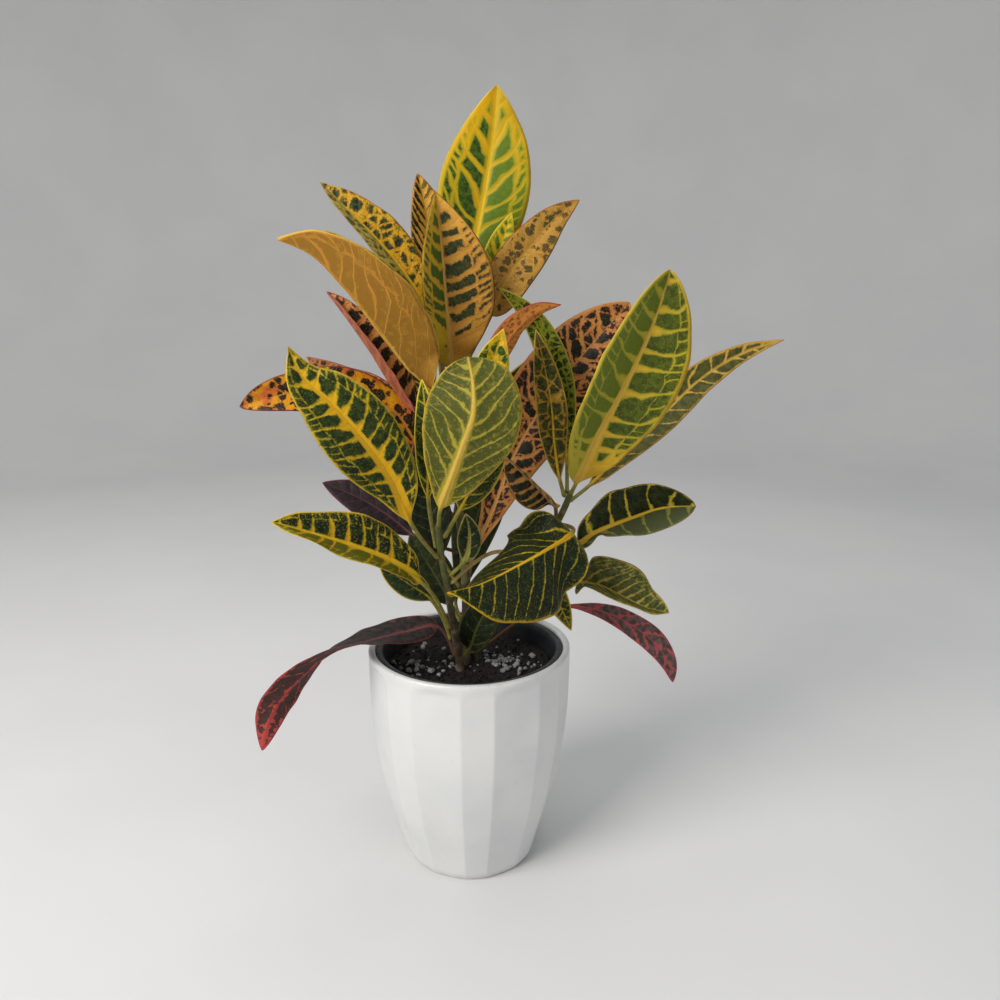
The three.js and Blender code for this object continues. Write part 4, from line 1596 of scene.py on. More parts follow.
@dataclass
class CoverPot:
    """The white pot: round at the rim and inside, with narrow and wide flat facets in turn outside."""

    outline: Sequence[tuple[float, float]] = (
        (43, 0), (44.2, 3), (49.8, 24), (53.6, 36), (57.4, 51), (60.5, 68), (62.9, 84), (64.3, 98),
        (65.1, 116), (65.3, 136),
    )
    height: float = 145.0
    wall: float = 4.4
    floor: float = 4.0
    rounding: float = 1.7
    foot_rounding: float = 2.0
    foot_gap: float = 1.5
    inner_foot: float = 3.0
    inner_step: float = 1.0
    facet_pairs: int = 8
    narrow: float = 17.5
    first_edge: float = -92.6
    facet_top: float = 142.0
    facet_full: float = 138.5
    arc_drop: float = 5.5
    soft_edge: float = 0.9
    foot_flatness: float = 0.45
    foot_fade: float = 12.0
    base_margin: float = 9.0
    evening: Sequence[float] = (-5, -2.5, 0, 2.5, 5)
    evening_from: float = 6.0
    facet_steps: tuple[int, int] = (8, 12)
    foot_steps: int = 4
    outside_steps: int = 63
    rim_steps: int = 5
    inside_steps: int = 29

    def radius(self, height: float) -> float:
        """Finds the radius over the facets' edges.

        Args:
            height: The height.

        Returns:
            The radius.
        """
        points = self.outline
        for (near, low), (far, high) in zip(points, points[1:]):
            if height <= high:
                share = clamp((height - low) / (high - low))
                return lerp(near, far, share)
        return points[-1][0]

    def _even_radius(self, height: float) -> float:
        """Smooths the corners of the outline away.

        Args:
            height: The height.

        Returns:
            The radius there.
        """
        near = [self.radius(clamp(height + off, 0, self.height)) for off in self.evening]
        weight = min(1.0, height / self.evening_from)
        return lerp(self.radius(height), sum(near) / len(near), weight)

    def _rays(self) -> list[tuple[float, float, float]]:
        """Spreads the corners of a ring over the facets.

        Returns:
            Each corner's angle, its angle from its facet's middle and that facet's half width.
        """
        wide = 360 / self.facet_pairs - self.narrow
        rays = []
        for pair in range(self.facet_pairs):
            start = self.first_edge + 360 * pair / self.facet_pairs
            for width, steps in zip((self.narrow, wide), self.facet_steps):
                inner = width - 2 * self.soft_edge
                shares = [self.soft_edge + inner * step / (steps - 2) for step in range(steps - 1)]
                for off in (0.0, *shares):
                    rays.append((start + off, off - width / 2, width / 2))
                start += width
        return rays

    def _foot(self) -> list[PotRing]:
        """Lays the rings under the pot and round its foot.

        Returns:
            The rings.
        """
        base, foot = self.radius(0), self.foot_rounding
        rings = [(0.0, 0.0, False), (base - self.base_margin, 0.0, False)]
        for step in range(self.foot_steps + 1):
            turn = math.pi / 2 * step / self.foot_steps
            rings.append((base - foot + foot * math.sin(turn), foot - foot * math.cos(turn), True))
        return rings

    def _outside(self) -> list[PotRing]:
        """Lays the rings of the faceted outside.

        Returns:
            The rings.
        """
        low, high = self.foot_rounding + self.foot_gap, self.height - self.rounding
        heights = [lerp(low, high, step / self.outside_steps) for step in range(self.outside_steps + 1)]
        return [(self._even_radius(height), height, True) for height in heights]

    def _rim(self) -> list[PotRing]:
        """Lays the rings round the top of the rim.

        Returns:
            The rings.
        """
        outer, inner = self.radius(self.height), self.radius(self.height) - self.wall
        rings = []
        for side, middle in ((1, outer - self.rounding), (-1, inner + self.rounding)):
            for step in range(self.rim_steps + 1):
                share = step / self.rim_steps
                turn = math.pi / 2 * (share if side > 0 else 1 - share)
                rings.append((
                    middle + side * self.rounding * math.cos(turn),
                    self.height - self.rounding + self.rounding * math.sin(turn),
                    False,
                ))
        return rings

    def _inside(self) -> list[PotRing]:
        """Lays the rings from under the rim to the middle of the floor.

        Returns:
            The rings.
        """
        rings = []
        for step in range(1, self.inside_steps + 1):
            low = self.floor + self.inner_foot
            height = lerp(self.height - self.rounding, low, step / self.inside_steps)
            rings.append((self._even_radius(height) - self.wall, height, False))
        last = rings[-1][0]
        rings.append((last - self.inner_step, self.floor + self.inner_step, False))
        return [*rings, (last - self.inner_foot, self.floor, False), (0.0, self.floor, False)]

    def _facet(self, radius: float, height: float, offset: float, half: float) -> float:
        """Cuts a ring's radius back to the flat of a facet.

        Args:
            radius: The radius over the facets' edges.
            height: The ring's height.
            offset: The angle from the facet's middle.
            half: Half the facet's width in degrees.

        Returns:
            The radius, which is not cut over the arc at the facet's top.
        """
        full = self.facet_full - self.arc_drop * (offset / half) ** 2
        flat = 1 - smooth((height - full) / (self.facet_top - full))
        flat *= lerp(self.foot_flatness, 1, smooth(height / self.foot_fade))
        cut = math.cos(math.radians(half)) / math.cos(math.radians(offset))
        return radius * lerp(1, cut, flat)

    def build(self) -> None:
        """Makes the pot's piece."""
        rays = self._rays()
        section = self._foot() + self._outside() + self._rim() + self._inside()

        def point(ring: int, column: int) -> Spot:
            """Returns a point of the pot's skin.

            Args:
                ring: The ring's number.
                column: The corner's number round the ring.

            Returns:
                The corner, which carries no numbers.
            """
            angle, offset, half = rays[column % len(rays)]
            radius, height, faceted = section[ring]
            if faceted:
                radius = self._facet(radius, height, offset, half)
            return on_circle(radius, math.radians(angle), height), ()

        shape = sleeve(len(section) - 1, len(rays), point)
        finish_piece("cover_pot_glaze", shape, GlazeFinish().build(), Slot.WHITE_POT, ["pot"])


@dataclass
class NurseryPot:
    """The thin dark pot inside, with a lip that turns out at its top."""

    floor: float = 4.3
    base_radius: float = 37.0
    top_radius: float = 57.5
    lip_radius: float = 60.5
    lip_depth: float = 4.0
    wall: float = 1.2
    top: float = 143.2
    rounding: float = 0.5
    base_rounding: float = 1.0
    around: int = 144
    hole_count: int = 6
    hole_radius: float = 4.0
    hole_ring: float = 24.0
    hole_sides: int = 32
    flute: float = 0.12
    flute_count: int = 24
    flute_gap: float = 2.0
    flute_fade: float = 8.0
    outside_steps: int = 24
    inside_steps: int = 29

    def _section(self) -> list[tuple[float, float]]:
        """Lays the rings from under the pot, over its lip and to its inside.

        Returns:
            Their radii and heights.
        """
        under_lip, soft = self.top - self.lip_depth, self.rounding
        low = self.floor + self.base_rounding
        points = [(0.0, self.floor), (self.base_radius - self.base_rounding, self.floor)]
        for step in range(self.outside_steps + 1):
            share = step / self.outside_steps
            radius = lerp(self.base_radius, self.top_radius, share)
            points.append((radius, lerp(low, under_lip, share)))
        points += [(self.lip_radius - soft, under_lip), (self.lip_radius, under_lip + soft)]
        points += [(self.lip_radius, self.top - soft), (self.lip_radius - soft, self.top)]
        inner = self.top_radius - self.wall
        points += [(inner + soft, self.top), (inner, self.top - soft)]
        for step in range(1, self.inside_steps + 1):
            share = step / self.inside_steps
            points.append((
                lerp(inner, self.base_radius - self.wall, share),
                lerp(self.top - soft, self.floor + self.wall, share),
            ))
        return [*points, (0.0, self.floor + self.wall)]

    def _drills(self) -> bmesh.types.BMesh:
        """Makes an upright rod through the floor for each drain hole.

        Returns:
            The rods.
        """
        drills = bmesh.new()
        for hole in range(self.hole_count):
            turn = 2 * math.pi * hole / self.hole_count
            middle = Matrix.Translation(on_circle(self.hole_ring, turn, self.floor))
            bmesh.ops.create_cone(
                drills, cap_ends=True, segments=self.hole_sides, radius1=self.hole_radius,
                radius2=self.hole_radius, depth=6 * self.wall, matrix=middle,
            )
        return drills

    def build(self) -> None:
        """Makes the nursery pot's piece."""
        section = self._section()

        def point(ring: int, column: int) -> Spot:
            """Returns a point of the pot's skin.

            Args:
                ring: The ring's number.
                column: The corner's number round the ring.

            Returns:
                The corner, which carries no numbers.
            """
            radius, height = section[ring]
            turn = 2 * math.pi * column / self.around
            if radius > self.base_radius:
                under_lip = self.top - self.lip_depth - self.flute_gap - height
                fade = smooth(under_lip / self.flute_fade)
                radius += self.flute * math.cos(self.flute_count * turn) * fade
            return on_circle(radius, turn, height), ()

        shape = pierce(sleeve(len(section) - 1, self.around, point), self._drills())
        finish_piece(
            "grower_pot_plastic", shape, GrowerFinish().build(), Slot.BLACK_POT, ["nursery_pot"]
        )


@dataclass
class Soil:
    """The soil: an uneven top with crumbs of peat and grains of perlite."""

    top: float = 130.0
    shoulder: float = 4.0
    middle: float = 68.0
    low: float = 5.8
    low_radius: float = 35.2
    radius: float = 53.7
    unevenness: float = 0.8
    humps: tuple[float, float, float] = (9.0, 7.0, 5.0)
    slanted_share: float = 0.6
    lumps: float = 1.3
    lump_size: float = 3.4
    crumb_size: float = 1.5
    fine_share: float = 0.6
    hollow: float = 0.25
    around: int = 168
    top_rings: int = 70
    crumb_count: int = 620
    crumb_sizes: tuple[float, float] = (0.5, 1.5)
    grain_sizes: tuple[float, float] = (0.7, 2.3)
    grain_bumps: float = 0.42
    bump_size: float = 1.3
    smallness: float = 1.6
    across_stretch: tuple[float, float] = (0.75, 1.2)
    upright_stretch: tuple[float, float] = (0.6, 1)
    lifts: tuple[float, float] = (0.1, 0.55)
    noise_span: float = 50.0
    edge_room: float = 2.0
    stem_room: float = 2.5
    rim_room: float = 3.5
    loose_grains: int = 30
    drifts: Sequence[tuple[float, float, float, float, int]] = (
        (-27, -6, 10, 6, 46), (21, 3, 11, 6.5, 66), (4, 24, 20, 9, 16),
    )
    seed: int = 7

    def height_at(self, x: float, y: float) -> float:
        """Finds the height of the soil's surface.

        Args:
            x: The point to the right of the pot's axis.
            y: The point behind it.

        Returns:
            The height.
        """
        long, short, slanted = self.humps
        waves = math.sin(x / long) * math.cos(y / short)
        waves += self.slanted_share * math.sin((x + y) / slanted)
        rough = noise.noise(Vector((x, y, 0)) / self.lump_size)
        rough += self.fine_share * noise.noise(Vector((x, y, 7)) / self.crumb_size)
        return self.top + self.unevenness * waves + self.lumps * (rough - self.hollow)

    def _body(self) -> bmesh.types.BMesh:
        """Makes the block of soil.

        Returns:
            The block.
        """
        section = [(self.radius * ring / self.top_rings, None) for ring in range(self.top_rings + 1)]
        middle = lerp(self.radius, self.low_radius, 0.5), self.middle
        section += [(self.radius - 0.1, self.top - self.shoulder), middle]
        section += [(self.low_radius, self.low), (0.0, self.low)]

        def point(ring: int, column: int) -> Spot:
            """Returns a point of the soil's skin.

            Args:
                ring: The ring's number.
                column: The corner's number round the ring.

            Returns:
                The corner, which carries no numbers.
            """
            radius, height = section[ring]
            turn = 2 * math.pi * column / self.around
            x, y = radius * math.cos(turn), radius * math.sin(turn)
            return Vector((x, y, self.height_at(x, y) if height is None else height)), ()

        return sleeve(len(section) - 1, self.around, point)

    def _grain(
        self, target: bmesh.types.BMesh, draw: random.Random, size: float, level: int
    ) -> list[bmesh.types.BMVert]:
        """Adds one uneven grain at the origin to a mesh.

        Args:
            target: The mesh that gets the grain.
            draw: The run of random numbers.
            size: The grain's radius.
            level: How finely the ball is divided that it is made of.

        Returns:
            The grain's corners.
        """
        corners = bmesh.ops.create_icosphere(target, subdivisions=level, radius=size)["verts"]
        shift = Vector([draw.uniform(0, self.noise_span) for _ in range(3)])
        spans = (self.across_stretch, self.across_stretch, self.upright_stretch)
        stretch = Vector([draw.uniform(*span) for span in spans])
        turn = Matrix.Rotation(draw.uniform(0, math.tau), 3, "Z")
        for corner in corners:
            bump = 1 + self.grain_bumps * noise.noise(corner.co / size * self.bump_size + shift)
            corner.co = turn @ (corner.co * bump * stretch)
        return corners

    def _strew(
        self, places: Sequence[tuple[float, float]], sizes: tuple[float, float], level: int, seed: int
    ) -> bmesh.types.BMesh:
        """Lays grains on the soil.

        Args:
            places: Where they lie.
            sizes: The smallest and the largest radius.
            level: How finely each is divided.
            seed: The start of the random numbers.

        Returns:
            One mesh of all grains.
        """
        draw = random.Random(seed)
        strewn = bmesh.new()
        for x, y in places:
            size = lerp(*sizes, draw.random() ** self.smallness)
            corners = self._grain(strewn, draw, size, level)
            up = self.height_at(x, y) + size * draw.uniform(*self.lifts)
            bmesh.ops.translate(strewn, verts=corners, vec=Vector((x, y, up)))
        return strewn

    def _crumb_places(self, draw: random.Random) -> list[tuple[float, float]]:
        """Draws where the crumbs of peat lie, all over the soil.

        Args:
            draw: The run of random numbers.

        Returns:
            The places.
        """
        reach = self.radius - self.edge_room
        places = []
        while len(places) < self.crumb_count:
            x, y = draw.uniform(-reach, reach), draw.uniform(-reach, reach)
            if math.hypot(x, y) < reach:
                places.append((x, y))
        return places

    def _grain_places(self, draw: random.Random) -> list[tuple[float, float]]:
        """Draws where the grains of perlite lie, most of them in drifts.

        Args:
            draw: The run of random numbers.

        Returns:
            The places.
        """
        reach = self.radius - self.edge_room
        places = []
        for x, y, wide, deep, count in self.drifts:
            places += [(draw.gauss(x, wide), draw.gauss(y, deep)) for _ in range(count)]
        for _ in range(self.loose_grains):
            places.append((draw.uniform(-reach, reach), draw.uniform(-reach, reach)))
        return places

    def _free(self, x: float, y: float, stems: Sequence[Stem]) -> bool:
        """Tells whether a grain may lie at a point.

        Args:
            x: The point to the right of the pot's axis.
            y: The point behind it.
            stems: The stems that stand in the soil.

        Returns:
            True on the soil and beside the stems.
        """
        for stem in stems:
            if math.hypot(x - stem.foot[0], y - stem.foot[1]) <= stem.thick + self.stem_room:
                return False
        return math.hypot(x, y) < self.radius - self.rim_room

    def build(self, stems: Sequence[Stem]) -> None:
        """Makes the soil's pieces.

        Args:
            stems: The stems that stand in it.
        """
        finish = SoilFinish()
        finish_piece("potting_soil", self._body(), finish.build("peat", 0.0), Slot.SOIL, ["soil"])
        draw = random.Random(self.seed)
        crumbs = self._crumb_places(draw)
        grains = [place for place in self._grain_places(draw) if self._free(*place, stems)]
        peat = self._strew(crumbs, self.crumb_sizes, 1, self.seed + 1)
        finish_piece("peat_crumbs", peat, finish.build("peat_crumbs", 0.7), Slot.SOIL)
        white = self._strew(grains, self.grain_sizes, 2, self.seed + 2)
        finish_piece("perlite_grains", white, PerliteFinish().build(), Slot.SOIL)


@dataclass(frozen=True)
class Lamp:
    """One square soft light. Its power is in watts."""

    name: str
    place: tuple[float, float, float]
    size: float
    power: float
    tint: str

    def hang(self, target: Vector) -> None:
        """Hangs the light.

        Args:
            target: The point that it shines at.
        """
        lamp = bpy.data.lights.new(self.name, "AREA")
        lamp.size = self.size * MM
        lamp.energy = self.power
        lamp.color = colour(self.tint)[:3]
        holder = bpy.data.objects.new(self.name, lamp)
        way = target - Vector(self.place)
        holder.location = Vector(self.place) * MM
        holder.rotation_euler = way.to_track_quat("-Z", "Y").to_euler()
        bpy.context.scene.collection.objects.link(holder)


@dataclass
class Studio:
    """The pale floor with its curved-up edge, the soft lights and the camera."""

    rings: Sequence[float] = (0.0, 300.0, 900.0)
    floor_radius: float = 1500.0
    bend: float = 900.0
    bend_steps: int = 12
    wall_top: float = 2600.0
    around: int = 96
    eye: tuple[float, float, float] = (19.9, -492.0, 352.6)
    look_down: float = 12.86
    lens: float = 29.0
    sensor: float = 36.0
    sky: str = "#dfe3e8"
    sky_strength: float = 0.36
    lit: tuple[float, float, float] = (0, 0, 230)
    lamps: Sequence[Lamp] = (
        Lamp("key", (-1000, -950, 1150), 900, 26.5, "#fffcf8"),
        Lamp("fill", (1150, -900, 700), 1100, 2.5, "#f6f8ff"),
        Lamp("top", (100, 150, 1700), 1200, 7, "#ffffff"),
    )

    def _floor(self) -> None:
        """Makes the floor, which curves up into a wall all round."""
        profile = [(radius, 0.0) for radius in (*self.rings, self.floor_radius)]
        for step in range(1, self.bend_steps + 1):
            turn = math.pi / 2 * step / self.bend_steps
            profile.append((
                self.floor_radius + self.bend * math.sin(turn), self.bend - self.bend * math.cos(turn),
            ))
        profile.append((self.floor_radius + self.bend, self.wall_top))
        sheet = bmesh.new()
        corners = [sheet.verts.new((radius, 0, height)) for radius, height in profile]
        edges = [sheet.edges.new(pair) for pair in zip(corners, corners[1:])]
        bmesh.ops.spin(
            sheet, geom=[*corners, *edges], cent=(0, 0, 0), axis=(0, 0, 1), angle=math.tau,
            steps=self.around, use_merge=True,
        )
        bmesh.ops.remove_doubles(sheet, verts=sheet.verts, dist=0.01)
        bmesh.ops.recalc_face_normals(sheet, faces=sheet.faces)
        finish_piece("studio_floor", sheet, StudioFinish().build())

    def _camera(self) -> None:
        """Sets up the camera at the photograph's viewing angle."""
        camera = bpy.data.cameras.new("camera")
        camera.lens = self.lens
        camera.sensor_width = self.sensor
        camera.clip_start = 0.01
        camera.clip_end = 50
        holder = bpy.data.objects.new("camera", camera)
        holder.location = Vector(self.eye) * MM
        holder.rotation_euler = (math.radians(90 - self.look_down), 0, 0)
        bpy.context.scene.collection.objects.link(holder)
        bpy.context.scene.camera = holder

    def build(self) -> None:
        """Makes the floor, the lights, the sky and the camera."""
        self._floor()
        for lamp in self.lamps:
            lamp.hang(Vector(self.lit))
        world = bpy.data.worlds.new("soft_sky")
        world.use_nodes = True
        background = world.node_tree.nodes["Background"]
        background.inputs["Color"].default_value = colour(self.sky)
        background.inputs["Strength"].default_value = self.sky_strength
        bpy.context.scene.world = world
        bpy.context.scene.view_settings.view_transform = "Standard"
        self._camera()


STEMS = (
    Stem(
        Shoot.MIDDLE, foot=(-3, 3), thick=3.4, thin=2.2,
        through=((-2, 8, 171), (-7, 12, 238), (-12, 10, 289), (-13, 8, 311)),
    ),
    Stem(
        Shoot.FRONT, foot=(-6, -8), thick=2.5, thin=1.8,
        through=((-9, -16, 160), (-12, -26, 190), (-15, -36, 218), (-16, -42, 238)),
    ),
    Stem(
        Shoot.RIGHT, foot=(4, 8), thick=2.8, thin=2,
        through=((11, 9, 159), (33, 4, 194), (56, 0, 226), (65, -2, 248)),
    ),
)
LEAVES = (
    Leaf(
        "crown_tall", Shoot.MIDDLE, Slot.YOUNG, CROWN_TALL, at=306, looks=(0.06, -1.0, 0.07),
        through=((-5, 25, 362), (4, 28, 398), (11, 31, 431), (16, 33, 462), (18, 35, 488)),
        wide=28.5, ends=(1, 0.95), fold=14, arch=0.12, wave=1.2,
    ),
    Leaf(
        "crown_narrow", Shoot.MIDDLE, Slot.ORANGE, CROWN_NARROW, at=303, looks=(0.41, -0.9, 0.17),
        through=((-20, 34, 351), (-24, 41, 393), (-28, 44, 421), (-32, 46, 440)),
        wide=16, ends=(0.9, 0.9), fold=26,
    ),
    Leaf(
        "crown_folded", Shoot.MIDDLE, Slot.GOLD, CROWN_FOLDED, at=309, looks=(0.6, -0.8, 0.03),
        through=((-10, -3, 322), (-12, -6, 359), (-14, -8, 390), (-17, -8, 422)),
        wide=30, ends=(0.9, 1.1), fold=33,
    ),
    Leaf(
        "crown_gold", Shoot.MIDDLE, Slot.GOLD, CROWN_GOLD, at=308, looks=(0.11, -0.99, 0.1),
        through=((14, 10, 353), (26, 12, 377), (39, 15, 394), (52, 18, 409), (68, 22, 421)),
        wide=14, ends=(0.5, 0.88), fold=11,
    ),
    Leaf(
        "crown_amber", Shoot.MIDDLE, Slot.AMBER, CROWN_AMBER, at=308, looks=(0.55, 0, 0.8),
        through=((-22, -10, 312), (-43, -26, 339), (-65, -37, 369), (-82, -41, 386), (-99, -42, 393)),
        wide=30.5, ends=(0.8, 1), fold=65,
    ),
    Leaf(
        "crown_spotted", Shoot.MIDDLE, Slot.GOLD, CROWN_SPOTTED, at=307, looks=(0.42, -0.79, 0.44),
        through=((-23, 10, 352), (-37, 12, 376), (-54, 14, 397), (-70, 16, 413), (-88, 20, 431)),
        wide=16.5, ends=(0.9, 0.95), fold=34,
    ),
    Leaf(
        "crown_inner", Shoot.MIDDLE, Slot.YOUNG, CROWN_INNER, at=302, looks=(0.04, -1.0, 0.05),
        through=((12, 20, 362), (17, 20, 383), (22, 21, 399), (27, 22, 414)),
        wide=9, ends=(0.9, 1), fold=12,
    ),
    Leaf(
        "crown_pink", Shoot.MIDDLE, Slot.AMBER, CROWN_PINK, at=304, looks=(-0.6, 0.7, 0.5),
        through=((9, -14, 307), (20, -22, 331), (29, -25, 345), (41, -24, 355), (55, -20, 359)),
        wide=11, ends=(0.8, 1.1), fold=15,
    ),
    Leaf(
        "crown_small", Shoot.MIDDLE, Slot.YOUNG, CROWN_SMALL, at=299, looks=(-0.03, -1.0, -0.06),
        through=((6, -27, 303), (13, -32, 318), (18, -34, 334), (22, -34, 346)),
        wide=10.5, ends=(0.9, 1.1), fold=15,
    ),
    Leaf(
        "crown_red", Shoot.MIDDLE, Slot.ORANGE, CROWN_RED, at=293, looks=(0.5, -0.35, 0.75),
        through=((-25, 0, 292), (-42, -2, 308), (-58, -2, 333), (-72, 2, 352), (-84, 6, 367)),
        wide=17, ends=(0.9, 1), fold=45,
    ),
    Leaf(
        "left_bold", Shoot.FRONT, Slot.GREEN, LEFT_BOLD, at=215, looks=(0.3, -0.95, 0.1),
        through=(
            (-30, -58, 241), (-38, -66, 266), (-53, -74, 291), (-68, -78, 310), (-80, -79, 322),
            (-87, -78, 338),
        ),
        wide=21, ends=(1.1, 1.1), fold=18, arch=0.12, wave=1.5,
    ),
    Leaf(
        "left_orange", Shoot.MIDDLE, Slot.ORANGE, LEFT_ORANGE, at=271, looks=(0.22, -0.89, 0.39),
        through=((-29, 5, 274), (-45, 0, 296), (-72, -5, 307), (-102, -9, 308), (-135, -13, 300)),
        wide=15, ends=(0.8, 0.75), fold=14, wave=1.5, waves=2.5,
    ),
    Leaf(
        "left_tan", Shoot.MIDDLE, Slot.ORANGE, LEFT_TAN, at=278, looks=(0.04, -0.88, 0.48),
        through=((-31, 18, 283), (-44, 24, 295), (-62, 28, 306), (-81, 32, 313), (-105, 35, 327)),
        wide=10, ends=(0.9, 0.9), fold=12,
    ),
    Leaf(
        "left_purple", Shoot.MIDDLE, Slot.MAROON, LEFT_PURPLE, at=203, looks=(0.11, -0.88, 0.47),
        through=((-38, 22, 212), (-54, 25, 224), (-73, 28, 235), (-98, 31, 245)),
        wide=12, ends=(0.8, 0.9), fold=12,
    ),
    Leaf(
        "left_long", Shoot.FRONT, Slot.GREEN, LEFT_LONG, at=164, looks=(0.51, -0.58, 0.63),
        through=((-26, -44, 201), (-45, -54, 218), (-63, -61, 228), (-84, -67, 237), (-104, -70, 244)),
        wide=18.5, ends=(0.85, 0.95), fold=36, wave=1, waves=2.5,
    ),
    Leaf(
        "left_low", Shoot.FRONT, Slot.GREEN, LEFT_LOW, at=152, looks=(0.59, -0.8, 0.11),
        through=((-23, -16, 180), (-37, -24, 194), (-52, -30, 207)),
        wide=9, ends=(0.8, 0.7), fold=12,
    ),
    Leaf(
        "left_drooping", Shoot.FRONT, Slot.MAROON, LEFT_DROOPING, at=138, looks=(-0.5, 0.3, 0.8),
        through=(
            (-20, -4, 157), (-40, -12, 157), (-61, -24, 156), (-80, -34, 154),
            (-99, -41, 141), (-117, -45, 120), (-126, -45, 93),
        ),
        wide=16, ends=(0.5, 0.7), fold=8, turn=150,
    ),
    Leaf(
        "left_inner", Shoot.MIDDLE, Slot.GREEN, SHADED_LEFT_INNER, at=180, looks=(-0.04, -0.99, -0.12),
        through=((-18, 6, 202), (-25, 2, 237), (-33, -4, 268)),
        wide=14, ends=(0.8, 1), fold=12,
    ),
    Leaf(
        "front_round", Shoot.FRONT, Slot.YOUNG, FRONT_ROUND, at=236, looks=(-0.04, 0.99, -0.16),
        through=(
            (-13, -60, 249), (-5, -74, 271), (1, -81, 288), (6, -82, 303), (6, -76, 318),
            (3, -66, 332),
        ),
        wide=26, ends=(0.95, 0.5), fold=14, arch=0.1, wave=1, waves=3,
    ),
    Leaf(
        "front_under", Shoot.FRONT, Slot.GREEN, FRONT_UNDER, at=227, looks=(-0.14, -0.98, -0.13),
        through=((-3, -46, 245), (11, -52, 274), (23, -50, 298)),
        wide=12, ends=(0.8, 0.9), fold=12,
    ),
    Leaf(
        "front_small", Shoot.FRONT, Slot.GREEN, FRONT_SMALL, at=200, looks=(-0.07, -0.98, -0.2),
        through=((-2, -30, 209), (2, -34, 227), (0, -38, 241)),
        wide=7.5, ends=(0.8, 0.9), fold=12,
    ),
    Leaf(
        "front_narrow", Shoot.FRONT, Slot.YOUNG, FRONT_NARROW, at=219, looks=(-0.25, -0.97, 0.06),
        through=((-21, -44, 252), (-20, -49, 280), (-21, -49, 301), (-23, -46, 319)),
        wide=7.5, ends=(0.8, 0.9), fold=12,
    ),
    Leaf(
        "front_curled", Shoot.FRONT, Slot.GREEN, FRONT_CURLED, at=194, looks=(-0.3, -0.6, 0.8),
        through=((22, -22, 213), (40, -18, 199), (55, -16, 180), (65, -15, 159)),
        wide=9, ends=(0.8, 0.9), fold=15,
    ),
    Leaf(
        "right_orange", Shoot.MIDDLE, Slot.ORANGE, RIGHT_ORANGE, at=162, looks=(-0.09, -0.98, 0.17),
        through=(
            (0, 20, 189), (15, 23, 228), (31, 27, 268), (47, 30, 295),
            (66, 33, 320), (87, 35, 344), (103, 37, 361),
        ),
        wide=27, ends=(1.6, 0.8), fold=12, arch=0.1, wave=1.2,
    ),
    Leaf(
        "right_olive", Shoot.RIGHT, Slot.GREEN, RIGHT_OLIVE, at=242, looks=(-0.04, -1.0, -0.05),
        through=((57, 0, 254), (53, -3, 279), (51, -5, 300), (47, -5, 321), (41, -4, 345)),
        wide=9.5, ends=(0.8, 0.9), fold=10, wave=1.5, waves=2.5,
    ),
    Leaf(
        "right_green", Shoot.RIGHT, Slot.GREEN, RIGHT_GREEN, at=244, looks=(0.01, -0.99, -0.1),
        through=((62, 8, 263), (60, 11, 289), (56, 10, 315), (48, 8, 337), (38, 6, 353), (19, 2, 369)),
        wide=9.5, ends=(0.8, 0.9), fold=10,
    ),
    Leaf(
        "right_tall", Shoot.RIGHT, Slot.YOUNG, RIGHT_TALL, at=246, looks=(0.2, -0.94, -0.28),
        through=((66, -12, 253), (76, -30, 285), (91, -40, 319), (104, -44, 352), (111, -44, 377)),
        wide=29.5, ends=(0.9, 0.72), fold=30, arch=0.08, wave=1,
    ),
    Leaf(
        "right_long", Shoot.RIGHT, Slot.GREEN, RIGHT_LONG, at=240, looks=(-0.18, -0.91, 0.37),
        through=(
            (77, 12, 247), (97, 18, 266), (123, 24, 289), (148, 28, 313), (174, 30, 329),
            (201, 30, 338),
        ),
        wide=11.5, ends=(0.8, 1), fold=12,
    ),
    Leaf(
        "right_tan", Shoot.RIGHT, Slot.ORANGE, RIGHT_TAN, at=228, looks=(-0.33, -0.74, -0.59),
        through=((54, -8, 238), (43, -18, 252), (32, -23, 264), (22, -25, 273)),
        wide=15, ends=(0.8, 0.9), fold=48,
    ),
    Leaf(
        "right_big", Shoot.RIGHT, Slot.GREEN, RIGHT_BIG, at=226, looks=(0.07, -0.59, 0.8),
        through=((62, -38, 229), (46, -55, 224), (27, -64, 216), (10, -76, 211), (-8, -91, 211)),
        wide=38.5, ends=(0.5, 1.07), fold=-45, turn=54, wave=1,
    ),
    Leaf(
        "right_lance", Shoot.RIGHT, Slot.GREEN, RIGHT_LANCE, at=219, looks=(-0.35, -0.8, 0.48),
        through=((67, -10, 214), (82, -6, 221), (101, -5, 229), (120, -12, 238), (138, -20, 241)),
        wide=21.5, ends=(0.73, 0.62), fold=41, turn=49, wave=1.2, waves=2.5,
    ),
    Leaf(
        "right_low", Shoot.RIGHT, Slot.GREEN, RIGHT_LOW, at=206, looks=(0.16, -0.56, 0.82),
        through=((69, -4, 188), (82, -9, 187), (97, -14, 181), (112, -18, 175), (125, -20, 173)),
        wide=21, ends=(0.42, 0.75), fold=40, wave=1,
    ),
    Leaf(
        "right_drooping", Shoot.RIGHT, Slot.MAROON, RIGHT_DROOPING, at=138, looks=(0.35, -0.7, 0.62),
        through=(
            (59, 10, 166), (82, 7, 165), (106, 4, 155), (122, -1, 143), (129, -4, 133),
            (133, -5, 119),
        ),
        wide=9.6, ends=(1.38, 0.85), fold=9, turn=12,
    ),
    Leaf(
        "inner_tall", Shoot.MIDDLE, Slot.GREEN, SHADED_INNER_TALL, at=155, looks=(0, -0.99, 0.13),
        through=((-10, 22, 164), (-5, 27, 184), (2, 31, 213), (9, 34, 239), (12, 35, 265)),
        wide=17, ends=(1.2, 0.6), fold=12,
    ),
    Leaf(
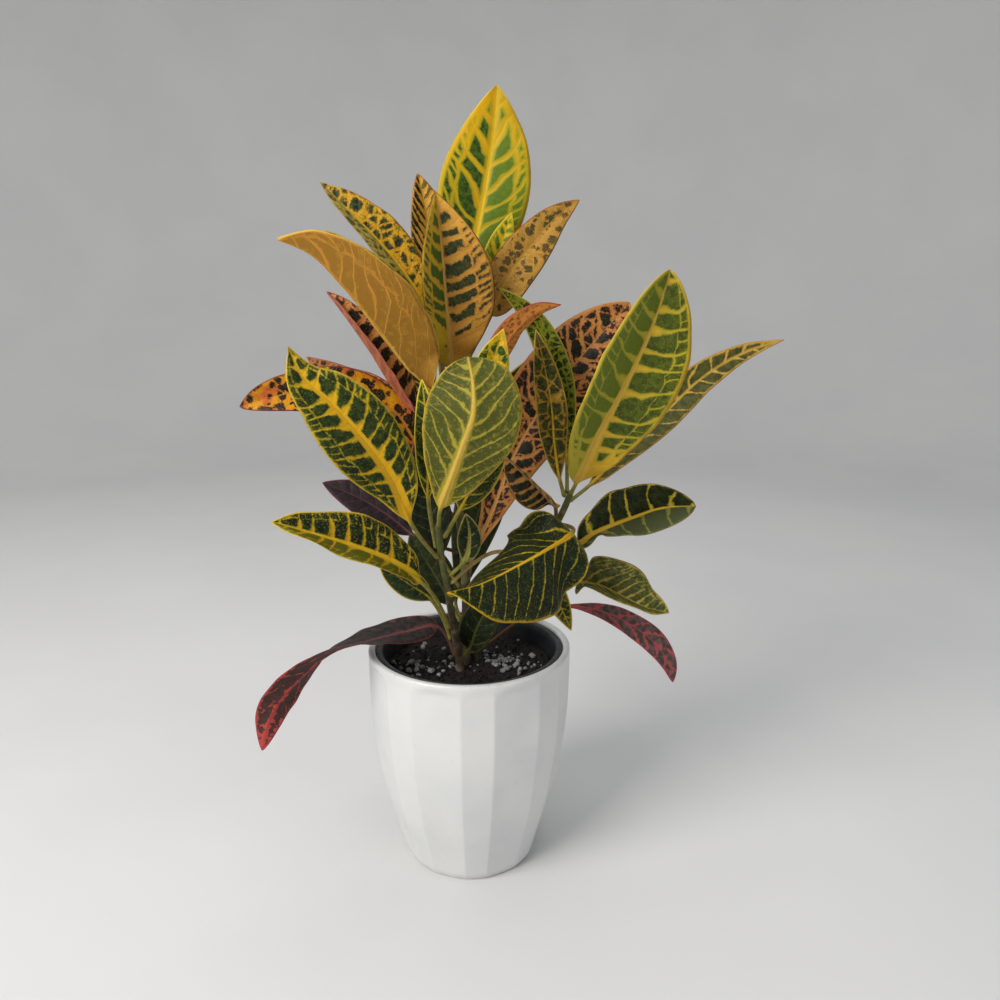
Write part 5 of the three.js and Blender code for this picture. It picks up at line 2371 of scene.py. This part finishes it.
        "inner_low", Shoot.FRONT, Slot.GREEN, SHADED_INNER_LOW, at=139, looks=(-0.17, -0.98, -0.05),
        through=((-2, -6, 141), (5, -8, 158), (12, -10, 174), (18, -12, 189)),
        wide=12, ends=(0.7, 0.9), fold=16,
    ),
    Leaf(
        "inner_left", Shoot.MIDDLE, Slot.GREEN, SHADED_INNER_LEFT, at=157, looks=(0.25, -0.97, 0.01),
        through=((-12, 10, 167), (-21, 9, 185), (-30, 7, 202), (-38, 5, 217)),
        wide=13, ends=(0.8, 0.9), fold=12,
    ),
    Leaf(
        "back_left", Shoot.MIDDLE, Slot.GREEN, BACK_GREEN, at=281, looks=(0.01, -0.95, 0.3),
        through=((-24, 30, 300), (-36, 42, 330), (-48, 52, 359), (-56, 58, 381)),
        wide=15, ends=(0.9, 0.9), fold=12,
    ),
    Leaf(
        "back_high", Shoot.MIDDLE, Slot.GOLD, BACK_GOLD, at=287, looks=(0.05, -0.98, 0.17),
        through=((-1, 36, 330), (4, 50, 363), (9, 58, 395), (12, 61, 426)),
        wide=16, ends=(0.9, 0.9), fold=10,
    ),
    Leaf(
        "back_right", Shoot.MIDDLE, Slot.GREEN, BACK_GREEN, at=247, looks=(0.15, -0.97, 0.21),
        through=((6, 28, 277), (30, 44, 298), (55, 54, 316), (83, 60, 334)),
        wide=17, ends=(0.9, 0.9), fold=12,
    ),
    Leaf(
        "back_low", Shoot.MIDDLE, Slot.ORANGE, BACK_ORANGE, at=225, looks=(-0.15, -0.92, 0.37),
        through=((-30, 28, 249), (-44, 42, 268), (-61, 52, 284), (-83, 60, 297)),
        wide=15, ends=(0.9, 0.9), fold=12,
    ),
)


def main() -> None:
    """Builds the plant over its frame."""
    logging.basicConfig(level=logging.INFO, format="%(message)s")
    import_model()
    Studio().build()
    CoverPot().build()
    NurseryPot().build()
    Soil().build(STEMS)
    for stem in STEMS:
        stem.build()
    carriers = {stem.shoot: stem for stem in STEMS}
    for number, leaf in enumerate(LEAVES):
        leaf.lay(carriers[leaf.shoot], number * SEED_STEP)
        leaf.build()


if __name__ == "__main__":
    main()
